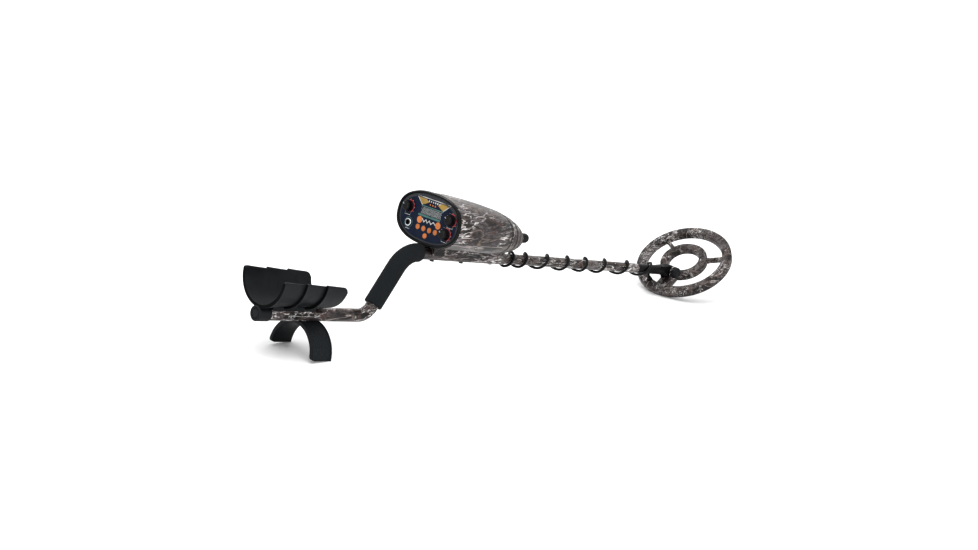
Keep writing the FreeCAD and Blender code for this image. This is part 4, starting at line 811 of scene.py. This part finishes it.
NOSE = Vector((558, 0, 153))
WRAP_TOPS = (568, 607, 673, 735, 793, 857, 936, 1022)
WRAP_BOTTOMS = (551, 589, 645, 713, 777, 833, 905, 976)
WRAP_STEPS = 8                              # points in half a turn
LEAD = ((30, 9.1, 0), (30, 19, -1), (24, 27, -8), (13, 29, -19), (2, 25, -31), (-4, 16, -41))


def on_wrap(x, turn):
    a = math.radians(turn)
    return Vector((x, WRAP_RADIUS * math.cos(a), RISE + WRAP_RADIUS * math.sin(a)))


def half_wrap(start_x, end_x, start_turn):
    """Points of half a turn round the shaft."""
    return [on_wrap(start_x + (end_x - start_x) * i / WRAP_STEPS,
                    start_turn - 180 * i / WRAP_STEPS) for i in range(WRAP_STEPS)]


def connector():
    profile = rounded([(1.2, 0), (1.2, 8.6), (2.0, 9.0), (6.0, 9.0), (6.6, 8.5), (9.0, 8.5),
                       (9.6, 9.0), (36.0, 8.9), (39.5, 7.6), (41.5, 5.2), (42.0, 0)], 0.7)

    def grooves(x, r, a):
        return -0.3 * (0.5 + 0.5 * math.cos(20 * a)) if 10 < x < 34 and r > 8.4 else 0.0

    verts, faces = lathed(profile, NOSE, count=160, wave=grooves)
    piece("plug_shell", "detector", "rubber_black", verts, faces, replaces=["coil_plug"], angle=50)
    path = smooth_path([NOSE + Vector((30, 7.0, 0)), NOSE + Vector((30, 12, 0)),
                        NOSE + Vector((30, 19, -1)), NOSE + Vector((28, 23.5, -4))], 0.6)
    verts, faces = swept(path, lambda run, total: 4.6 - 1.6 * run / total
                         - (0.5 if run > 3 and run % 2.4 < 0.9 else 0.0), 32)
    piece("plug_relief", "detector", "rubber_black", verts, faces, angle=60)


def cables():
    """The wound cable, its run on the stem, its tail to the coil, and the gland's boot."""
    places = []
    for i, (bottom, top) in enumerate(zip(WRAP_BOTTOMS, WRAP_TOPS)):
        places += half_wrap(bottom, top, 270)
        if i + 1 < len(WRAP_BOTTOMS):
            places += half_wrap(top, WRAP_BOTTOMS[i + 1], 90)
    cut = WRAP_STEPS * (2 * len(WRAP_TOPS) - 2) - WRAP_STEPS // 2
    lead = [NOSE + Vector(p) for p in LEAD] + [on_wrap(551.7, -45)]
    wrapped = smooth_path(lead + places[:cut + 1], 1.6)
    verts, faces = swept(wrapped, CABLE_RADIUS, 20)
    obj = piece("cable_wound", None, "rubber_black", verts, faces, replaces=["coil_cable"])
    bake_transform(obj)
    over = [on_wrap(WRAP_TOPS[-1] + 5 * i, 90 - 45 * i) for i in range(3)]
    leaving = over[-1] + Vector((5, 2.5, -5))
    verts, faces = swept(smooth_path(places[cut:] + over + [leaving], 1.6), CABLE_RADIUS, 20)
    piece("cable_on_stem_run", "lower_stem", "rubber_black", verts, faces, replaces=["stem_cable"])
    turn = math.radians(160)
    base = Vector((87 * math.cos(turn), 87 * math.sin(turn), COIL_HALF))
    local = COIL_TURN.to_3x3()
    gland = COIL_CENTRE + local @ (base + Vector((0, 0, 8)))
    rise = local @ Vector((0, 0, 1))
    path = smooth_path([over[-1], leaving, leaving + Vector((7, 3.5, -7)), gland + rise * 12,
                        gland + rise * 4, gland - rise * 2], 1.2)
    verts, faces = swept(path, CABLE_RADIUS, 20)
    obj = piece("cable_tail_run", None, "rubber_black", verts, faces, replaces=["cable_tail"])
    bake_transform(obj)
    profile = rounded([(-2.0, 0), (-2.0, 5.5), (1.8, 5.5), (2.4, 4.6), (3.6, 4.6), (4.0, 4.0),
                       (5.0, 4.2), (5.4, 3.6), (6.6, 3.9), (7.0, 3.3), (8.0, 3.3), (8.0, 0)], 0.25)
    verts, faces = lathed(profile, base, Vector((0, 0, 1)), 48)
    piece("gland_boot", "coil", "rubber_black", verts, faces, place=COIL, slot="black_plastic",
          replaces=["cable_gland"])


# ---- lower stem ----------------------------------------------------------------------------

def lower_stem():
    """The black stem, its eye on the pivot and a boss on each side of it."""
    profile = rounded([(735, 0), (735, 8.15), (972.3, 8.15), (972.3, 9.5), (1068, 9.5),
                       (1072, 8.6), (1072, 0)], 0.8)
    verts, faces = lathed(profile, Vector((0, 0, RISE)))
    piece("stem_rod", "lower_stem", "stem_plastic", verts, faces, replaces=["lower_stem"])
    outline = [(1056, -8.8)]
    outline += [(PIVOT.x + 12.3 * math.sin(a), -12.3 * math.cos(a))
                for a in (math.pi * i / 24 for i in range(25))]
    outline += [(1056, 8.8)]
    rings = []
    for y, shrink in ((-9.2, 0.9), (-8.9, 0.3), (-8.3, 0.0), (8.3, 0.0), (8.9, 0.3), (9.2, 0.9)):
        ring = []
        for x, z in outline:
            away = Vector((x - 1080, z)).normalized() * shrink
            ring.append(Vector((x - away.x, y, RISE + z - away.y)))
        rings.append(ring)
    piece("stem_eye", "lower_stem", "stem_plastic", *lofted(rings))
    for side in (-1, 1):
        profile = rounded([(8.6, 0), (8.6, 10.8), (9.25, 10.6), (9.25, 0)], 0.3)
        verts, faces = lathed(profile, PIVOT, Vector((0, side, 0)), 48)
        piece(f"eye_boss_{'left' if side > 0 else 'right'}", "lower_stem", "stem_plastic",
              verts, faces)


# ---- coil ----------------------------------------------------------------------------------

def ring_section(inner, outer, half, radius=2.2, steps=5):
    """A rounded rectangle as (radius, height) points."""
    out = []
    right, left, top = outer - radius, inner + radius, half - radius
    for cx, cz, start in ((right, top, 0), (left, top, 90), (left, -top, 180), (right, -top, 270)):
        for i in range(steps + 1):
            a = math.radians(start + 90 * i / steps)
            out.append((cx + radius * math.cos(a), cz + radius * math.sin(a)))
    return out


def ring_round(section, count=160):
    """The skin that a section of (radius, height) points sweeps round the coil's axis."""
    turns = [2 * math.pi * i / count for i in range(count)]
    return looped([[Vector((r * math.cos(a), r * math.sin(a), z)) for r, z in section]
                   for a in turns])


def coil_ring(name, inner, outer, replaces=()):
    """One ring of the coil, black below a seam line that runs round it."""
    seam = -5.5
    verts, faces = ring_round(ring_section(inner, outer, COIL_HALF))
    obj = piece(name, "coil", "camo_coil", verts, faces, place=COIL, slot="camo_housing",
                replaces=replaces, extra=("black_plastic",))
    for polygon in obj.data.polygons:
        if all(verts[i].z <= seam for i in polygon.vertices):
            polygon.material_index = 1
    verts, faces = ring_round([(outer + 0.05, seam + 0.35), (outer + 0.05, seam - 0.35),
                               (outer - 0.6, seam - 0.35), (outer - 0.6, seam + 0.35)])
    piece(name + "_seam", "coil", "black_plastic", verts, faces, place=COIL)


def spoke(name, angle):
    """A bar between the rings that flares where it joins them."""
    c, s = math.cos(math.radians(angle)), math.sin(math.radians(angle))
    rings = []
    for r in (47.5, 50.5, 54, 60, 66, 72, 78, 81, 84):
        flare = max(0, (53.5 - r) / 4, (r - 78.5) / 4)
        half = min(3.5 + 2.2 * flare ** 2, 5.4)
        ring = []
        for w, z in ((-1, -5.5), (-1, 2.2), (-0.75, 3.3), (-0.3, 3.5), (0.3, 3.5), (0.75, 3.3),
                     (1, 2.2), (1, -5.5), (0.7, -8), (-0.7, -8)):
            y = w * half
            ring.append(Vector((r * c - y * s, r * s + y * c, z)))
        rings.append(ring)
    piece(name, "coil", "camo_coil", *lofted(rings), place=COIL, slot="camo_housing", angle=50)


def coil_mount():
    """The raised seat between the two rings, with two ears for the stem."""
    pivot = -COIL_OFFSET
    rings = []
    for z, grow in ((-7.6, 0), (4.3, 0), (5.2, -0.4), (5.5, -1.4)):
        x0, x1, half = -82.9 - grow, -38.9 + grow, 14.3 + grow
        corner = 4.0
        ring = []
        for cx, cy, start in ((x1 - corner, half - corner, 0), (x0 + corner, half - corner, 90),
                              (x0 + corner, corner - half, 180), (x1 - corner, corner - half, 270)):
            for i in range(6):
                a = math.radians(start + 18 * i)
                ring.append(Vector((cx + corner * math.cos(a), cy + corner * math.sin(a), z)))
        rings.append(ring)
    piece("coil_seat", "coil", "camo_coil", *lofted(rings), place=COIL, slot="camo_housing")
    for name, low, high in (("left", 10.35, 14.3), ("right", -14.3, -10.35)):
        outline = [(-13.5, -15.0), (13.5, -15.0), (12.2, -8)]
        outline += [(12 * math.cos(a), 12 * math.sin(a))
                    for a in (math.pi * i / 28 for i in range(29))]
        outline += [(-12.2, -8)]
        rings = []
        for y, shrink in ((low, 0.8), (low + 0.3, 0.2), (low + 0.8, 0), (high - 0.8, 0),
                          (high - 0.3, 0.2), (high, 0.8)):
            ring = []
            for x, z in outline:
                away = Vector((x, z)).normalized() * shrink
                ring.append(pivot + Vector((x - away.x, y, z - away.y)))
            rings.append(ring)
        piece(f"ear_{name}", "coil", "camo_coil", *lofted(rings), place=COIL, slot="camo_housing")


def coil_hardware():
    profile = rounded([(14.6, 0), (14.6, 11.6), (15.4, 12.0), (22.4, 11.6), (24.6, 9.8),
                       (25.6, 6.5), (25.2, 0)], 0.7)

    def lobes(x, r, a):
        return -0.9 * (0.5 + 0.5 * math.cos(8 * a)) ** 3 if r > 9 else 0.0

    verts, faces = lathed(profile, PIVOT, Vector((0, -1, 0)), 192, lobes)
    piece("knob_moulding", "coil_knob", "black_plastic", verts, faces, replaces=["coil_knob"],
          angle=50)
    profile = rounded([(18.0, 0), (18.0, 5.6), (17.2, 7.2), (15.0, 7.5), (14.4, 7.4), (14.4, 4.0)],
                      0.6)
    verts, faces = lathed(profile + [(-21, 4.0), (-21, 0)], PIVOT, Vector((0, 1, 0)), 64)
    piece("bolt_moulding", "coil", "stem_plastic", verts, faces, replaces=["coil_bolt"])


# ---- finishes for the pieces carried over from the model -----------------------------------

CARRIED = {
    "upper_shaft": "camo_tube", "middle_tube": "camo_tube", "housing_shell": "camo_housing",
    "battery_door": "camo_housing", "mount_saddle": "camo_tube", "armrest_nut": "steel",
    "housing_screws": "black_steel", "door_hinge_pin": "steel", "battery_tray": "black_plastic",
    "batteries": "battery_can", "battery_snaps": "black_plastic", "speaker": "speaker_cone",
    "control_panel": "panel_face", "lcd_window": "window", "lcd_module": "display",
    "circuit_board": "board", "keypad_board": "board", "potentiometers": "steel",
    "headphone_jack": "black_plastic", "coil_socket": "black_plastic",
    "pivot_washers": "rubber_black", "shaft_button": "steel", "shaft_button_spring": "steel",
    "stem_snap_spring": "steel", "transmit_winding": "winding", "receive_winding": "winding",
    "sensitivity_shaft": "steel", "discrimination_shaft": "steel", "notch_shaft": "steel",
}


def carried_finishes():
    for name, finish in CARRIED.items():
        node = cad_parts[name]
        node.data.materials.clear()
        node.data.materials.append(M[finish])


# ---- stage, light, camera ------------------------------------------------------------------

def backdrop():
    """A wide, flat, pale floor."""
    radius, sides = 60, 64
    turns = [2 * math.pi * i / sides for i in range(sides)]
    verts = [(radius * math.cos(a), radius * math.sin(a), 0.0) for a in turns]
    mesh = bpy.data.meshes.new("floor")
    mesh.from_pydata(verts, [], [list(range(sides))])
    obj = bpy.data.objects.new("floor", mesh)
    bpy.context.scene.collection.objects.link(obj)
    n = Nodes("floor")
    cloud = n.noise(3, 3)
    mesh.materials.append(n.finish(n.ramp(cloud, ((0.3, (0.90, 0.90, 0.90)),
                                                  (0.7, (0.93, 0.93, 0.93)))),
                                   n.spread(cloud, 0.8, 0.9), n.bump(cloud, 0.0001, 0.05)))


def area_light(name, place, target, size, power):
    data = bpy.data.lights.new(name, "AREA")
    data.shape = "RECTANGLE"
    data.size, data.size_y = size
    data.energy = power
    obj = bpy.data.objects.new(name, data)
    bpy.context.scene.collection.objects.link(obj)
    obj.location = place
    obj.rotation_mode = "QUATERNION"
    obj.rotation_quaternion = (Vector(target) - Vector(place)).to_track_quat("-Z", "Y")


def lights():
    world = bpy.data.worlds.new("studio")
    world.use_nodes = True
    background = world.node_tree.nodes["Background"]
    background.inputs["Color"].default_value = (1.0, 1.0, 1.0, 1)
    background.inputs["Strength"].default_value = 1.0
    bpy.context.scene.world = world
    bpy.context.scene.view_settings.view_transform = "Standard"
    bpy.context.scene.view_settings.look = "Medium High Contrast"
    area_light("key", (-1.2, -0.6, 2.4), (0, 0, 0.1), (1.4, 1.4), 30)
    area_light("side", (-0.4, -2.4, 1.1), (0, 0, 0.1), (1.6, 0.8), 9)
    area_light("back", (1.6, 1.8, 1.8), (0, 0, 0.1), (1.6, 1.0), 12)


def camera():
    data = bpy.data.cameras.new("camera")
    data.lens = 51.53
    data.sensor_width = 36
    data.clip_start, data.clip_end = 0.05, 60
    obj = bpy.data.objects.new("camera", data)
    bpy.context.scene.collection.objects.link(obj)
    turn = (Matrix.Rotation(math.radians(VIEW_AZIMUTH), 3, "Z")
            @ Matrix.Rotation(math.radians(90 - VIEW_ELEVATION), 3, "X")
            @ Matrix.Rotation(math.radians(VIEW_ROLL), 3, "Z"))
    obj.rotation_mode = "QUATERNION"
    obj.rotation_quaternion = turn.to_quaternion()
    obj.location = SHAFT @ CAMERA_PLACE
    bpy.context.scene.camera = obj


end_cap()
arm_cup()
stand()
arm_bolt()
grip()
bezel()
nose_ridges()
panel_print()
panel_border()
display_segments()
knobs()
buttons()
jack()
connector()
cables()
lower_stem()
coil_ring("coil_outer_ring", 81.5, COIL_RADIUS, ["coil_shell", "coil_cover"])
coil_ring("coil_inner_ring", 32.5, 50.0)
for number, direction in enumerate((60, 180, 300), start=1):
    spoke(f"coil_spoke_{number}", direction)
coil_mount()
coil_hardware()
carried_finishes()
backdrop()
lights()
camera()
